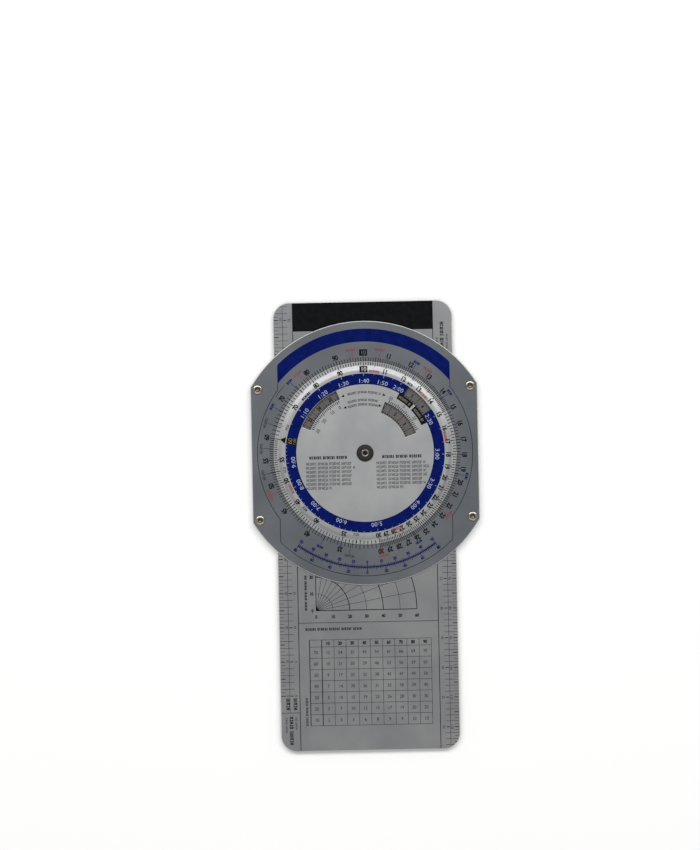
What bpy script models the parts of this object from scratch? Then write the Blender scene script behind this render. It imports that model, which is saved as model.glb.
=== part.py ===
"""A metal slide-and-dial flight computer, lying on its back with the calculator dial facing up.

Two printed aluminium plates are riveted over a lamination and two guide strips. A long printed
sheet slides between them. The front carries a stepped calculator disc on an eyelet, and the back
carries a compass ring with a clear plotting disc.

Metres, +Z up and +Y towards the top of the dial. The origin is under the middle of the slide, on the
surface that the rivet heads stand on.
"""

import math

import bmesh
import bpy

MM = 0.001

# Clearances
FACE_GAP = 0.1 * MM  # between flat faces that lie on each other
BORE_GAP = 0.15 * MM  # radial, round a rivet or an eyelet
RUNNING_GAP = 0.3 * MM  # radial, round the compass ring
SLIDE_SIDE_GAP = 0.3 * MM  # between the slide's edge and its guide
CUT_MARGIN = 1.0 * MM  # how far a cutter passes beyond the wall it cuts
WELD = 0.001 * MM  # points nearer than this are one point

# Wind slide
SLIDE_LENGTH = 243.5 * MM
SLIDE_WIDTH = 97.0 * MM
SLIDE_THICKNESS = 1.0 * MM
SLIDE_CORNER_RADIUS = 8.7 * MM
SLIDE_DRAWN = 39.5 * MM  # how far the slide's middle is drawn below the pivot

# Riveted body
SHEET = 0.8 * MM
GUIDE_WIDTH = 12.7 * MM
FLANK_LENGTH = 73.4 * MM  # straight side of the body, before its corners are rounded
BODY_CORNER_RADIUS = 2.0 * MM

# Corner rivets: a flat head behind, a rolled hollow end in front
RIVET_HEAD_RADIUS = 2.6 * MM
RIVET_HEAD_THICKNESS = 0.5 * MM
RIVET_SHANK_RADIUS = 1.45 * MM
RIVET_HOLLOW_RADIUS = 0.95 * MM
RIVET_HOLLOW_DEPTH = 1.2 * MM
RIVET_MOUTH_RADIUS = 1.35 * MM  # the hollow flares out to this
RIVET_CREST_RADIUS = 1.6 * MM  # where the roll is highest
RIVET_ROLL_RADIUS = 2.55 * MM
RIVET_ROLL_HEIGHT = 0.65 * MM
RIVET_EDGE_INSET = 3.9 * MM  # from the body's straight side
RIVET_END_INSET = 1.3 * MM  # from the end of the straight side

# Leaf springs that hold the slide where it is put
SPRING_POCKET_LENGTH = 30.0 * MM
SPRING_POCKET_DEPTH = 1.8 * MM
SPRING_STRIP = 0.3 * MM
SPRING_END_GAP = 0.6 * MM

# Compass ring and plotting disc
FRAME_WALL = 5.1 * MM  # lamination left beside the ring at the body's straight side
RING_FLANGE = 4.0 * MM  # how far the hidden flange reaches under the back plate
RING_FACE_WIDTH = 12.0 * MM
RING_PROUD = 0.1 * MM  # how far the printed face stands out of the back plate
RING_LIP = 2.4 * MM  # lip that the plotting disc seats on
PLOTTING_THICKNESS = 0.7 * MM
GROMMET_HOLE_RADIUS = 0.5 * MM
GROMMET_SHANK_RADIUS = 1.2 * MM
GROMMET_FLANGE_RADIUS = 2.2 * MM
GROMMET_FLANGE_THICKNESS = 0.3 * MM

# Calculator disc, with its rim stepped down to lie beside the fixed scale
DISC_RADIUS = 49.6 * MM
RIM_WIDTH = 6.5 * MM
RIM_FLAT = 2.0 * MM  # level part of the rim, outside the slope
RIM_SLOPE = 3.3 * MM
HOUR_RING_WIDTH = 5.85 * MM
WINDOW_MARGIN = 0.25 * MM
ALTITUDE_WINDOW_WIDTH = 4.9 * MM
WINDOW_SPACING = 2.5 * MM  # between the altitude window and the airspeed window
AIRSPEED_WINDOW_WIDTH = 6.15 * MM
ALTITUDE_WINDOW_DEG = (-66.4, -24.0)  # clockwise from the top of the dial
DENSITY_WINDOW_DEG = (34.4, 57.6)
AIRSPEED_WINDOW_DEG = (22.4, 69.6)

# Pivot of the calculator disc
EYELET_HOLE_RADIUS = 1.3 * MM
EYELET_HOLLOW_DEPTH = 3.2 * MM
EYELET_SHANK_RADIUS = 1.6 * MM
EYELET_HEAD_RADIUS = 2.15 * MM
EYELET_HEAD_HEIGHT = 0.45 * MM
EYELET_TAIL_RADIUS = 2.8 * MM
EYELET_TAIL_THICKNESS = 0.25 * MM
EYELET_TAIL_INSET = 0.05 * MM  # tail kept inside the plate, clear of the slide
CAP_WASHER_RADIUS = 4.6 * MM
CAP_WASHER_THICKNESS = 1.2 * MM
CAP_WASHER_ROUNDING = 0.5 * MM
BEARING_WASHER_RADIUS = 6.0 * MM
BEARING_WASHER_THICKNESS = 0.2 * MM
SPRING_WASHER_RADIUS = 5.0 * MM
SPRING_WASHER_STRIP = 0.1 * MM
SPRING_WASHER_CONE = 0.1 * MM

# How finely round shapes are divided, and which of their edges stay sharp
SHARP_EDGE_DEG = 30.0
OUTLINE_STEP_DEG = 3.0
LARGE_ROUND_STEPS = 108
SMALL_ROUND_STEPS = 28
RIVET_STEPS = 20

# Plan sizes that follow from the values above
CHANNEL_HALF_WIDTH = SLIDE_WIDTH / 2 + SLIDE_SIDE_GAP
BODY_HALF_WIDTH = CHANNEL_HALF_WIDTH + GUIDE_WIDTH
BODY_RADIUS = math.hypot(BODY_HALF_WIDTH, FLANK_LENGTH / 2)
RIVET_X = BODY_HALF_WIDTH - RIVET_EDGE_INSET
RIVET_Y = FLANK_LENGTH / 2 - RIVET_END_INSET
RIVET_BORE_RADIUS = RIVET_SHANK_RADIUS + BORE_GAP
EYELET_BORE_RADIUS = EYELET_SHANK_RADIUS + BORE_GAP
FLANGE_POCKET_RADIUS = BODY_HALF_WIDTH - FRAME_WALL
FLANGE_RADIUS = FLANGE_POCKET_RADIUS - RUNNING_GAP
RING_RADIUS = FLANGE_RADIUS - RING_FLANGE
RING_INNER_RADIUS = RING_RADIUS - RING_FACE_WIDTH
RING_SEAT_RADIUS = RING_INNER_RADIUS + RING_LIP
PLOTTING_RADIUS = RING_SEAT_RADIUS - RUNNING_GAP
SLOPE_OUTER = DISC_RADIUS - RIM_FLAT
SLOPE_INNER = SLOPE_OUTER - RIM_SLOPE
HOUR_RING_OUTER = DISC_RADIUS - RIM_WIDTH
HOUR_RING_INNER = HOUR_RING_OUTER - HOUR_RING_WIDTH
ALTITUDE_WINDOW_OUTER = HOUR_RING_INNER - WINDOW_MARGIN
ALTITUDE_WINDOW_INNER = ALTITUDE_WINDOW_OUTER - ALTITUDE_WINDOW_WIDTH
AIRSPEED_WINDOW_OUTER = ALTITUDE_WINDOW_INNER - WINDOW_SPACING
AIRSPEED_WINDOW_INNER = AIRSPEED_WINDOW_OUTER - AIRSPEED_WINDOW_WIDTH

# Heights, stacked up from the surface under the rivet heads
BACK_PLATE_Z = RIVET_HEAD_THICKNESS + FACE_GAP
FRAME_Z = BACK_PLATE_Z + SHEET + FACE_GAP
FRAME_TOP = FRAME_Z + SHEET
GUIDE_Z = FRAME_TOP + FACE_GAP
GUIDE_THICKNESS = SLIDE_THICKNESS + 2 * FACE_GAP
SLIDE_Z = GUIDE_Z + FACE_GAP
FRONT_PLATE_Z = GUIDE_Z + GUIDE_THICKNESS + FACE_GAP
FRONT_PLATE_TOP = FRONT_PLATE_Z + SHEET
ROLL_Z = FRONT_PLATE_TOP + FACE_GAP
RING_FACE_Z = BACK_PLATE_Z - RING_PROUD
PLOTTING_Z = FRAME_TOP - PLOTTING_THICKNESS
RING_SEAT_Z = PLOTTING_Z - FACE_GAP
EYELET_TAIL_Z = FRONT_PLATE_Z + EYELET_TAIL_INSET
EYELET_RECESS_TOP = EYELET_TAIL_Z + EYELET_TAIL_THICKNESS + FACE_GAP
RIM_Z = FRONT_PLATE_TOP + FACE_GAP
BEARING_WASHER_Z = FRONT_PLATE_TOP + FACE_GAP
SPRING_WASHER_Z = BEARING_WASHER_Z + BEARING_WASHER_THICKNESS + FACE_GAP
DISC_FLAT_Z = SPRING_WASHER_Z + SPRING_WASHER_STRIP + SPRING_WASHER_CONE + FACE_GAP
DISC_TOP = DISC_FLAT_Z + SHEET
CAP_WASHER_Z = DISC_TOP + FACE_GAP
EYELET_HEAD_Z = CAP_WASHER_Z + CAP_WASHER_THICKNESS + FACE_GAP


def clear_scene():
    for obj in list(bpy.data.objects):
        bpy.data.objects.remove(obj, do_unlink=True)


def new_collection(name):
    collection = bpy.data.collections.new(name)
    bpy.context.scene.collection.children.link(collection)
    return collection


def finish(name, colour, roughness, metallic, alpha=1.0):
    """A Principled material with one colour, given as linear red, green and blue."""
    material = bpy.data.materials.new(name)
    material.use_nodes = True
    shader = material.node_tree.nodes["Principled BSDF"]
    shader.inputs["Base Color"].default_value = (*colour, 1.0)
    shader.inputs["Roughness"].default_value = roughness
    shader.inputs["Metallic"].default_value = metallic
    shader.inputs["Alpha"].default_value = alpha
    return material


def axis_empty(name, y):
    """An empty on the slide's centre line, which the pieces that share an axis are parented to."""
    empty = bpy.data.objects.new(name, None)
    empty.location = (0.0, y, 0.0)
    PARTS.objects.link(empty)
    return empty


def place(obj, parent, material):
    obj.parent = parent
    obj.data.materials.append(material)
    PARTS.objects.link(obj)
    return obj


def arc(centre, radius, start, end, step=OUTLINE_STEP_DEG):
    """Points along an arc from start to end, both included, in degrees from +X."""
    count = max(2, round(abs(end - start) / step))
    points = []
    for i in range(count + 1):
        angle = math.radians(start + (end - start) * i / count)
        points.append((centre[0] + radius * math.cos(angle), centre[1] + radius * math.sin(angle)))
    return points


def circle(centre, radius, steps):
    return arc(centre, radius, 0.0, 360.0 - 360.0 / steps, 360.0 / steps)


def flat_curve(name, outlines, thickness):
    """A flat sheet as a filled 2D curve: the first outline is its edge, the others are holes."""
    curve = bpy.data.curves.new(name, "CURVE")
    curve.dimensions = "2D"
    curve.fill_mode = "BOTH"
    curve.extrude = thickness / 2
    for outline in outlines:
        spline = curve.splines.new("POLY")
        spline.points.add(len(outline) - 1)
        for point, (x, y) in zip(spline.points, outline):
            point.co = (x, y, 0.0, 1.0)
        spline.use_cyclic_u = True
    return curve


def sheet(name, outlines, low, thickness, parent, material):
    """A flat piece whose underside is at the height low."""
    obj = bpy.data.objects.new(name, flat_curve(name, outlines, thickness))
    obj.location.z = low + thickness / 2
    return place(obj, parent, material)


def meshed(obj):
    """Turns a curve, or a mesh with modifiers, into one welded mesh under the same name."""
    bpy.context.view_layer.update()
    graph = bpy.context.evaluated_depsgraph_get()
    mesh = bpy.data.meshes.new_from_object(obj.evaluated_get(graph))
    work = bmesh.new()
    work.from_mesh(mesh)
    bmesh.ops.remove_doubles(work, verts=work.verts, dist=WELD)
    bmesh.ops.recalc_face_normals(work, faces=work.faces)
    work.to_mesh(mesh)
    work.free()
    solid = bpy.data.objects.new(obj.name, mesh)
    solid.parent = obj.parent
    solid.matrix_world = obj.matrix_world
    for collection in obj.users_collection:
        collection.objects.link(solid)
    name = obj.name
    bpy.data.objects.remove(obj, do_unlink=True)
    solid.name = name
    return solid


def turned(name, profile, steps, parent, material, closed):
    """A piece turned about Z from (radius, height) points that run down its outer side."""
    mesh = bpy.data.meshes.new(name)
    count = len(profile)
    edges = [(i, (i + 1) % count) for i in range(count if closed else count - 1)]
    mesh.from_pydata([(radius, 0.0, height) for radius, height in profile], edges, [])
    obj = bpy.data.objects.new(name, mesh)
    screw = obj.modifiers.new("turn", "SCREW")
    screw.axis = "Z"
    screw.steps = steps
    screw.render_steps = steps
    screw.use_merge_vertices = True
    screw.merge_threshold = WELD
    return place(obj, parent, material)


def shade_round(obj):
    """Smooth shading that stops at the sharp edges."""
    obj.data.shade_smooth()
    obj.data.set_sharp_from_angle(angle=math.radians(SHARP_EDGE_DEG))


def helper(obj):
    """Keeps a cutter out of the model."""
    obj.hide_render = True
    obj.display_type = "WIRE"
    for collection in list(obj.users_collection):
        collection.objects.unlink(obj)
    CUTTERS.objects.link(obj)
    return obj


def cut(obj, cutter):
    boolean = obj.modifiers.new("cut_" + cutter.name, "BOOLEAN")
    boolean.operation = "DIFFERENCE"
    boolean.object = cutter


def body_corner():
    """Where a rounded corner of the body lies: its centre's height, and its angle on the round edge."""
    centre_x = BODY_HALF_WIDTH - BODY_CORNER_RADIUS
    centre_y = math.sqrt((BODY_RADIUS - BODY_CORNER_RADIUS) ** 2 - centre_x**2)
    return centre_y, math.degrees(math.atan2(centre_y, centre_x))


def right_flank():
    """The body's right side from the lower round edge to the upper one, with its rounded corners."""
    centre_y, turn = body_corner()
    centre_x = BODY_HALF_WIDTH - BODY_CORNER_RADIUS
    lower = arc((centre_x, -centre_y), BODY_CORNER_RADIUS, -turn, 0.0, turn / 3)
    upper = arc((centre_x, centre_y), BODY_CORNER_RADIUS, 0.0, turn, turn / 3)
    return lower + upper


def body_outline():
    """A circle cut off straight on both sides."""
    _, turn = body_corner()
    right = right_flank()
    left = [(-x, -y) for x, y in right]
    top = arc((0.0, 0.0), BODY_RADIUS, turn, 180.0 - turn)
    bottom = [(-x, -y) for x, y in top]
    return right + top[1:-1] + left + bottom[1:-1]


def rivet_places():
    return [(side * RIVET_X, end * RIVET_Y) for side in (-1, 1) for end in (-1, 1)]


def rivet_holes():
    return [circle(spot, RIVET_BORE_RADIUS, RIVET_STEPS) for spot in rivet_places()]


def guide_outline(side):
    """A strip between the slide and the body's edge, notched on the inside for its leaf spring."""
    _, turn = body_corner()
    tip = math.degrees(math.acos(CHANNEL_HALF_WIDTH / BODY_RADIUS))
    lower = arc((0.0, 0.0), BODY_RADIUS, -tip, -turn)
    upper = arc((0.0, 0.0), BODY_RADIUS, turn, tip)
    pocket_floor = CHANNEL_HALF_WIDTH + SPRING_POCKET_DEPTH
    half = SPRING_POCKET_LENGTH / 2
    notch = [
        (CHANNEL_HALF_WIDTH, half),
        (pocket_floor, half),
        (pocket_floor, -half),
        (CHANNEL_HALF_WIDTH, -half),
    ]
    outline = lower[:-1] + right_flank() + upper[1:] + notch
    return [(side * x, y) for x, y in outline]


def spring_outline(side):
    """A bowed strip: its ends seat on the pocket's floor and its middle bears on the slide's edge."""
    floor = CHANNEL_HALF_WIDTH + SPRING_POCKET_DEPTH - FACE_GAP
    belly = SLIDE_WIDTH / 2 + FACE_GAP
    half_chord = SPRING_POCKET_LENGTH / 2 - SPRING_END_GAP
    bow = floor - belly - SPRING_STRIP
    radius = (half_chord**2 + bow**2) / (2 * bow)
    spread = math.degrees(math.asin(half_chord / radius))
    centre = (belly + radius, 0.0)
    inner = arc(centre, radius, 180.0 - spread, 180.0 + spread, spread / 6)
    outer = arc(centre, radius - SPRING_STRIP, 180.0 + spread, 180.0 - spread, spread / 6)
    return [(side * x, y) for x, y in inner + outer]


def window_outline(inner, outer, degrees):
    """A slot that follows the dial, between two radii and two angles."""
    start, end = (90.0 - angle for angle in degrees)
    return arc((0.0, 0.0), outer, start, end) + arc((0.0, 0.0), inner, end, start)


def rounded_rectangle(length, width, radius):
    corners = ((1, 1, 0.0), (-1, 1, 90.0), (-1, -1, 180.0), (1, -1, 270.0))
    points = []
    for side, end, start in corners:
        centre = (side * (width / 2 - radius), end * (length / 2 - radius))
        points += arc(centre, radius, start, start + 90.0, 10.0)
    return points


def make_front_plate(parent, material):
    """Printed plate with the fixed scale. Its back is sunk round the pivot for the eyelet's tail."""
    bore = circle((0.0, 0.0), EYELET_BORE_RADIUS, SMALL_ROUND_STEPS)
    outlines = [body_outline(), bore, *rivet_holes()]
    plate = meshed(sheet("front_plate", outlines, FRONT_PLATE_Z, SHEET, parent, material))
    depth = EYELET_RECESS_TOP - FRONT_PLATE_Z + CUT_MARGIN
    bpy.ops.mesh.primitive_cylinder_add(
        vertices=SMALL_ROUND_STEPS,
        radius=EYELET_TAIL_RADIUS + RUNNING_GAP,
        depth=depth,
        location=(0.0, SLIDE_DRAWN, EYELET_RECESS_TOP - depth / 2),
    )
    recess = helper(bpy.context.object)
    recess.name = "eyelet_recess"
    cut(plate, recess)


def make_back_plates(parent, material):
    """Back plate, and the lamination that gives the compass ring's flange its room."""
    ring_hole = circle((0.0, 0.0), RING_RADIUS + RUNNING_GAP, LARGE_ROUND_STEPS)
    flange_hole = circle((0.0, 0.0), FLANGE_POCKET_RADIUS, LARGE_ROUND_STEPS)
    back = [body_outline(), ring_hole, *rivet_holes()]
    frame = [body_outline(), flange_hole, *rivet_holes()]
    sheet("back_plate", back, BACK_PLATE_Z, SHEET, parent, material)
    sheet("azimuth_frame", frame, FRAME_Z, SHEET, parent, material)


def make_guides(parent, material, spring_material):
    """The two strips that the slide runs between, each with a leaf spring in its notch."""
    for word, side in (("left", -1), ("right", 1)):
        spots = [(x, y) for x, y in rivet_places() if x * side > 0]
        holes = [circle(spot, RIVET_BORE_RADIUS, RIVET_STEPS) for spot in spots]
        guide = [guide_outline(side), *holes]
        spring = [spring_outline(side)]
        sheet(f"guide_{word}", guide, GUIDE_Z, GUIDE_THICKNESS, parent, material)
        sheet(f"leaf_spring_{word}", spring, SLIDE_Z, SLIDE_THICKNESS, parent, spring_material)


def make_rivets(parent, material):
    """Semi-tubular rivets through the whole body: flat heads behind, rolled hollow ends in front."""
    mouth = ROLL_Z + RIVET_ROLL_HEIGHT
    hollow_floor = mouth - RIVET_HOLLOW_DEPTH
    fall = RIVET_ROLL_RADIUS - RIVET_CREST_RADIUS
    profile = [
        (0.0, hollow_floor - RIVET_HOLLOW_RADIUS / 4),
        (RIVET_HOLLOW_RADIUS, hollow_floor),
        (RIVET_HOLLOW_RADIUS, ROLL_Z),
        (RIVET_MOUTH_RADIUS, mouth - RIVET_ROLL_HEIGHT / 6),
        (RIVET_CREST_RADIUS, mouth),
        (RIVET_ROLL_RADIUS - fall / 2, mouth - RIVET_ROLL_HEIGHT / 6),
        (RIVET_ROLL_RADIUS - fall / 8, mouth - RIVET_ROLL_HEIGHT / 2),
        (RIVET_ROLL_RADIUS, ROLL_Z + RIVET_ROLL_HEIGHT / 6),
        (RIVET_ROLL_RADIUS - RIVET_ROLL_HEIGHT / 4, ROLL_Z),
        (RIVET_SHANK_RADIUS, ROLL_Z),
        (RIVET_SHANK_RADIUS, RIVET_HEAD_THICKNESS),
        (RIVET_HEAD_RADIUS, RIVET_HEAD_THICKNESS),
        (RIVET_HEAD_RADIUS, RIVET_HEAD_THICKNESS / 2),
        (RIVET_HEAD_RADIUS - RIVET_HEAD_THICKNESS / 2, 0.0),
        (0.0, 0.0),
    ]
    for x, y in rivet_places():
        end = "top" if y > 0 else "bottom"
        side = "left" if x < 0 else "right"
        rivet = turned(f"rivet_{end}_{side}", profile, RIVET_STEPS, parent, material, closed=False)
        rivet.location = (x, y, 0.0)


def make_slide(parent, material):
    """The printed sheet that carries the wind grid and the chart scales."""
    outline = rounded_rectangle(SLIDE_LENGTH, SLIDE_WIDTH, SLIDE_CORNER_RADIUS)
    sheet("wind_slide", [outline], SLIDE_Z, SLIDE_THICKNESS, parent, material)


def make_compass(parent, ring_material, disc_material, grommet_material):
    """Compass ring that turns in the back plate, its clear plotting disc and the disc's centre grommet."""
    ring = [
        (RING_INNER_RADIUS, RING_FACE_Z),
        (RING_INNER_RADIUS, RING_SEAT_Z),
        (RING_SEAT_RADIUS, RING_SEAT_Z),
        (RING_SEAT_RADIUS, FRAME_TOP),
        (FLANGE_RADIUS, FRAME_TOP),
        (FLANGE_RADIUS, FRAME_Z),
        (RING_RADIUS, FRAME_Z),
        (RING_RADIUS, RING_FACE_Z),
    ]
    turned("azimuth_ring", ring, LARGE_ROUND_STEPS, parent, ring_material, closed=True)
    bore = GROMMET_SHANK_RADIUS + BORE_GAP
    disc = [
        (bore, PLOTTING_Z),
        (bore, FRAME_TOP),
        (PLOTTING_RADIUS, FRAME_TOP),
        (PLOTTING_RADIUS, PLOTTING_Z),
    ]
    turned("plotting_disc", disc, LARGE_ROUND_STEPS, parent, disc_material, closed=True)
    flange_top = PLOTTING_Z - FACE_GAP
    flange_low = flange_top - GROMMET_FLANGE_THICKNESS
    grommet = [
        (GROMMET_HOLE_RADIUS, flange_low),
        (GROMMET_HOLE_RADIUS, FRAME_TOP),
        (GROMMET_SHANK_RADIUS, FRAME_TOP),
        (GROMMET_SHANK_RADIUS, flange_top),
        (GROMMET_FLANGE_RADIUS, flange_top),
        (GROMMET_FLANGE_RADIUS, flange_low),
    ]
    turned("centre_grommet", grommet, SMALL_ROUND_STEPS, parent, grommet_material, closed=True)


def make_calculator_disc(parent, material):
    """The dial: a flat disc with three windows, and a rim stepped down beside the fixed scale."""
    profile = [
        (EYELET_BORE_RADIUS, DISC_FLAT_Z),
        (EYELET_BORE_RADIUS, DISC_TOP),
        (SLOPE_INNER, DISC_TOP),
        (SLOPE_OUTER, RIM_Z + SHEET),
        (DISC_RADIUS, RIM_Z + SHEET),
        (DISC_RADIUS, RIM_Z),
        (SLOPE_OUTER, RIM_Z),
        (SLOPE_INNER, DISC_FLAT_Z),
    ]
    disc = turned("calculator_disc", profile, LARGE_ROUND_STEPS, parent, material, closed=True)
    windows = {
        "altitude_window": (ALTITUDE_WINDOW_INNER, ALTITUDE_WINDOW_OUTER, ALTITUDE_WINDOW_DEG),
        "density_window": (HOUR_RING_INNER, HOUR_RING_OUTER - WINDOW_MARGIN, DENSITY_WINDOW_DEG),
        "airspeed_window": (AIRSPEED_WINDOW_INNER, AIRSPEED_WINDOW_OUTER, AIRSPEED_WINDOW_DEG),
    }
    height = SHEET + 2 * CUT_MARGIN
    for name, (inner, outer, degrees) in windows.items():
        outline = window_outline(inner, outer, degrees)
        prism = sheet(name, [outline], DISC_FLAT_Z - CUT_MARGIN, height, parent, material)
        cut(disc, helper(meshed(prism)))


def make_pivot(parent, metal, rubber, nylon, spring):
    """The blind eyelet that the disc turns on, with its cap washer, spring washer and bearing washer."""
    head_top = EYELET_HEAD_Z + EYELET_HEAD_HEIGHT
    wall = EYELET_SHANK_RADIUS - EYELET_HOLE_RADIUS
    tail_top = EYELET_TAIL_Z + EYELET_TAIL_THICKNESS
    hollow_floor = head_top - EYELET_HOLLOW_DEPTH
    eyelet = [
        (0.0, hollow_floor),
        (EYELET_HOLE_RADIUS, hollow_floor),
        (EYELET_HOLE_RADIUS, EYELET_HEAD_Z + EYELET_HEAD_HEIGHT / 2),
        (EYELET_HOLE_RADIUS + wall / 2, head_top),
        (EYELET_HEAD_RADIUS - wall / 2, head_top),
        (EYELET_HEAD_RADIUS, EYELET_HEAD_Z + EYELET_HEAD_HEIGHT / 2),
        (EYELET_HEAD_RADIUS - wall / 2, EYELET_HEAD_Z),
        (EYELET_SHANK_RADIUS, EYELET_HEAD_Z),
        (EYELET_SHANK_RADIUS, tail_top),
        (EYELET_TAIL_RADIUS, tail_top),
        (EYELET_TAIL_RADIUS, EYELET_TAIL_Z),
        (0.0, EYELET_TAIL_Z),
    ]
    turned("pivot_eyelet", eyelet, SMALL_ROUND_STEPS, parent, metal, closed=False)

    cap_top = CAP_WASHER_Z + CAP_WASHER_THICKNESS
    cap = [
        (EYELET_BORE_RADIUS, CAP_WASHER_Z),
        (EYELET_BORE_RADIUS, cap_top),
        (CAP_WASHER_RADIUS - 2 * CAP_WASHER_ROUNDING, cap_top),
        (CAP_WASHER_RADIUS - CAP_WASHER_ROUNDING / 2, cap_top - CAP_WASHER_ROUNDING / 3),
        (CAP_WASHER_RADIUS, cap_top - CAP_WASHER_ROUNDING),
        (CAP_WASHER_RADIUS, CAP_WASHER_Z),
    ]
    turned("cap_washer", cap, SMALL_ROUND_STEPS, parent, rubber, closed=True)

    bearing_top = BEARING_WASHER_Z + BEARING_WASHER_THICKNESS
    bearing = [
        (EYELET_BORE_RADIUS, BEARING_WASHER_Z),
        (EYELET_BORE_RADIUS, bearing_top),
        (BEARING_WASHER_RADIUS, bearing_top),
        (BEARING_WASHER_RADIUS, BEARING_WASHER_Z),
    ]
    turned("bearing_washer", bearing, SMALL_ROUND_STEPS, parent, nylon, closed=True)

    crown = SPRING_WASHER_Z + SPRING_WASHER_CONE
    cone = [
        (EYELET_BORE_RADIUS, crown),
        (EYELET_BORE_RADIUS, crown + SPRING_WASHER_STRIP),
        (SPRING_WASHER_RADIUS, SPRING_WASHER_Z + SPRING_WASHER_STRIP),
        (SPRING_WASHER_RADIUS, SPRING_WASHER_Z),
    ]
    turned("spring_washer", cone, SMALL_ROUND_STEPS, parent, spring, closed=True)


clear_scene()
PARTS = new_collection("flight_computer")
CUTTERS = new_collection("cutters")

pivot_axis = axis_empty("pivot_axis", SLIDE_DRAWN)
slide_line = axis_empty("slide_line", 0.0)

plate_finish = finish("satin_plate", (0.24, 0.25, 0.26), 0.4, 0.9)
disc_finish = finish("silver_disc", (0.42, 0.42, 0.42), 0.38, 0.9)
slide_finish = finish("silver_slide", (0.38, 0.38, 0.38), 0.4, 0.9)
guide_finish = finish("mill_aluminium", (0.5, 0.5, 0.5), 0.35, 1.0)
rivet_finish = finish("nickel_rivet", (0.62, 0.58, 0.5), 0.25, 1.0)
spring_finish = finish("spring_steel", (0.35, 0.35, 0.37), 0.3, 1.0)
rubber_finish = finish("black_washer", (0.012, 0.012, 0.012), 0.5, 0.0)
nylon_finish = finish("white_nylon", (0.7, 0.7, 0.66), 0.5, 0.0)
clear_finish = finish("frosted_clear", (0.85, 0.86, 0.85), 0.35, 0.0, alpha=0.35)

make_front_plate(pivot_axis, plate_finish)
make_back_plates(pivot_axis, plate_finish)
make_guides(pivot_axis, guide_finish, spring_finish)
make_rivets(pivot_axis, rivet_finish)
make_slide(slide_line, slide_finish)
make_compass(pivot_axis, disc_finish, clear_finish, rivet_finish)
make_calculator_disc(pivot_axis, disc_finish)
make_pivot(pivot_axis, rivet_finish, rubber_finish, nylon_finish, spring_finish)

for piece in list(PARTS.objects):
    if piece.type != "EMPTY":
        shade_round(meshed(piece))
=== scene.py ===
import math

import bmesh
import bpy
from mathutils import Matrix, Vector


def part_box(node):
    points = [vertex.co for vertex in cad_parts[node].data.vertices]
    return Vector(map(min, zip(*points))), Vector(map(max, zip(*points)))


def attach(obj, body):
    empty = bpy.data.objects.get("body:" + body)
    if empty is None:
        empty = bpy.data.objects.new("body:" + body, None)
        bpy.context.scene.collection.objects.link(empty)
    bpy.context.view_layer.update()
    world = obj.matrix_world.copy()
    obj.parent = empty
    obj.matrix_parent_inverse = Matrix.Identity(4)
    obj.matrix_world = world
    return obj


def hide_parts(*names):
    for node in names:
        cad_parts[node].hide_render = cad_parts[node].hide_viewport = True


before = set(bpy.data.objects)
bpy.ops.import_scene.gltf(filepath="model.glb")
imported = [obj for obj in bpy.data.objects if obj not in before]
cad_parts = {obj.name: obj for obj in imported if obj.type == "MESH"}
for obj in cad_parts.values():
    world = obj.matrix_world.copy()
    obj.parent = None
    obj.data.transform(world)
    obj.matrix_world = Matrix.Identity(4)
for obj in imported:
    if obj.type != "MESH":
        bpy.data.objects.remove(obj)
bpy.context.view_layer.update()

# Back plate: aluminium sheet blanked to a circle cut straight on both sides, with a round opening for the
# compass ring. It is etched and anodised to a satin grey, and its broken edges have rubbed bright. Four
# rivets at its corners hold it to the rest of the body.
MM = 0.001
BODY_CORNER_RADIUS = 2.0 * MM
RING_OPENING_RADIUS = 52.4 * MM
RIVET_HOLE_RADIUS = 1.6 * MM
RIVETS = ("rivet_top_left", "rivet_top_right", "rivet_bottom_left", "rivet_bottom_right")
EDGE_BREAK = 0.34 * MM
WELD = 0.0005 * MM
ROUND_STEP = math.radians(1.0)
BORE_STEP = math.radians(10.0)
STEP_SLACK = 1e-6  # keeps an arc of a whole number of steps from gaining one
FLAT_FACE = 0.999  # a face whose normal is this upright belongs to a sheet's broad side
PLATE_GREYS = ("#5b5e62", "#64676b")
SATIN_ROUGHNESS = 0.42
CLOUD_SIZE = 22.0 * MM
ETCH_GRAIN = 0.5 * MM  # the real etch is ten times finer; it is drawn this coarse to show at all
ETCH_SPREAD = 0.07  # how far the roughness strays from grain to grain
ETCH_RELIEF = (0.2, 0.02 * MM)  # strength and depth
EDGE_SILVERS = ("#c6c7c4", "#d6d7d4")
RUB_SIZE = 1.4 * MM
TONE_RANGE = (0.35, 0.65)  # the pattern's values between which a colour runs from dark to pale

back_low, back_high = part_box("back_plate")
body_half_width = back_high.x
pivot = Vector((0.0, (back_low.y + back_high.y) / 2, 0.0))
body_radius = back_high.y - pivot.y
rivet_spots = {}
for rivet in RIVETS:
    rivet_low, rivet_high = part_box(rivet)
    rivet_spots[rivet] = (rivet_low + rivet_high) / 2 - pivot


def arc(radius, start, end, centre=(0.0, 0.0), step=ROUND_STEP):
    """Points on an arc, both ends included, at angles measured anticlockwise from +X."""
    count = max(2, math.ceil(abs(end - start) / step - STEP_SLACK))
    angles = [start + (end - start) * i / count for i in range(count + 1)]
    return [(centre[0] + radius * math.cos(a), centre[1] + radius * math.sin(a)) for a in angles]


def circle(radius, centre=(0.0, 0.0), step=ROUND_STEP):
    return arc(radius, 0.0, 2 * math.pi, centre, step)[:-1]


def upper_right(radius, half_width, corner):
    """The upper right quarter of a circle cut straight at a half width, with its corner rounded."""
    x = half_width - corner
    y = math.sqrt((radius - corner) ** 2 - x**2)
    turn = math.atan2(y, x)
    return arc(corner, 0.0, turn, (x, y), BORE_STEP) + arc(radius, turn, math.pi / 2)[1:]


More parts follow.
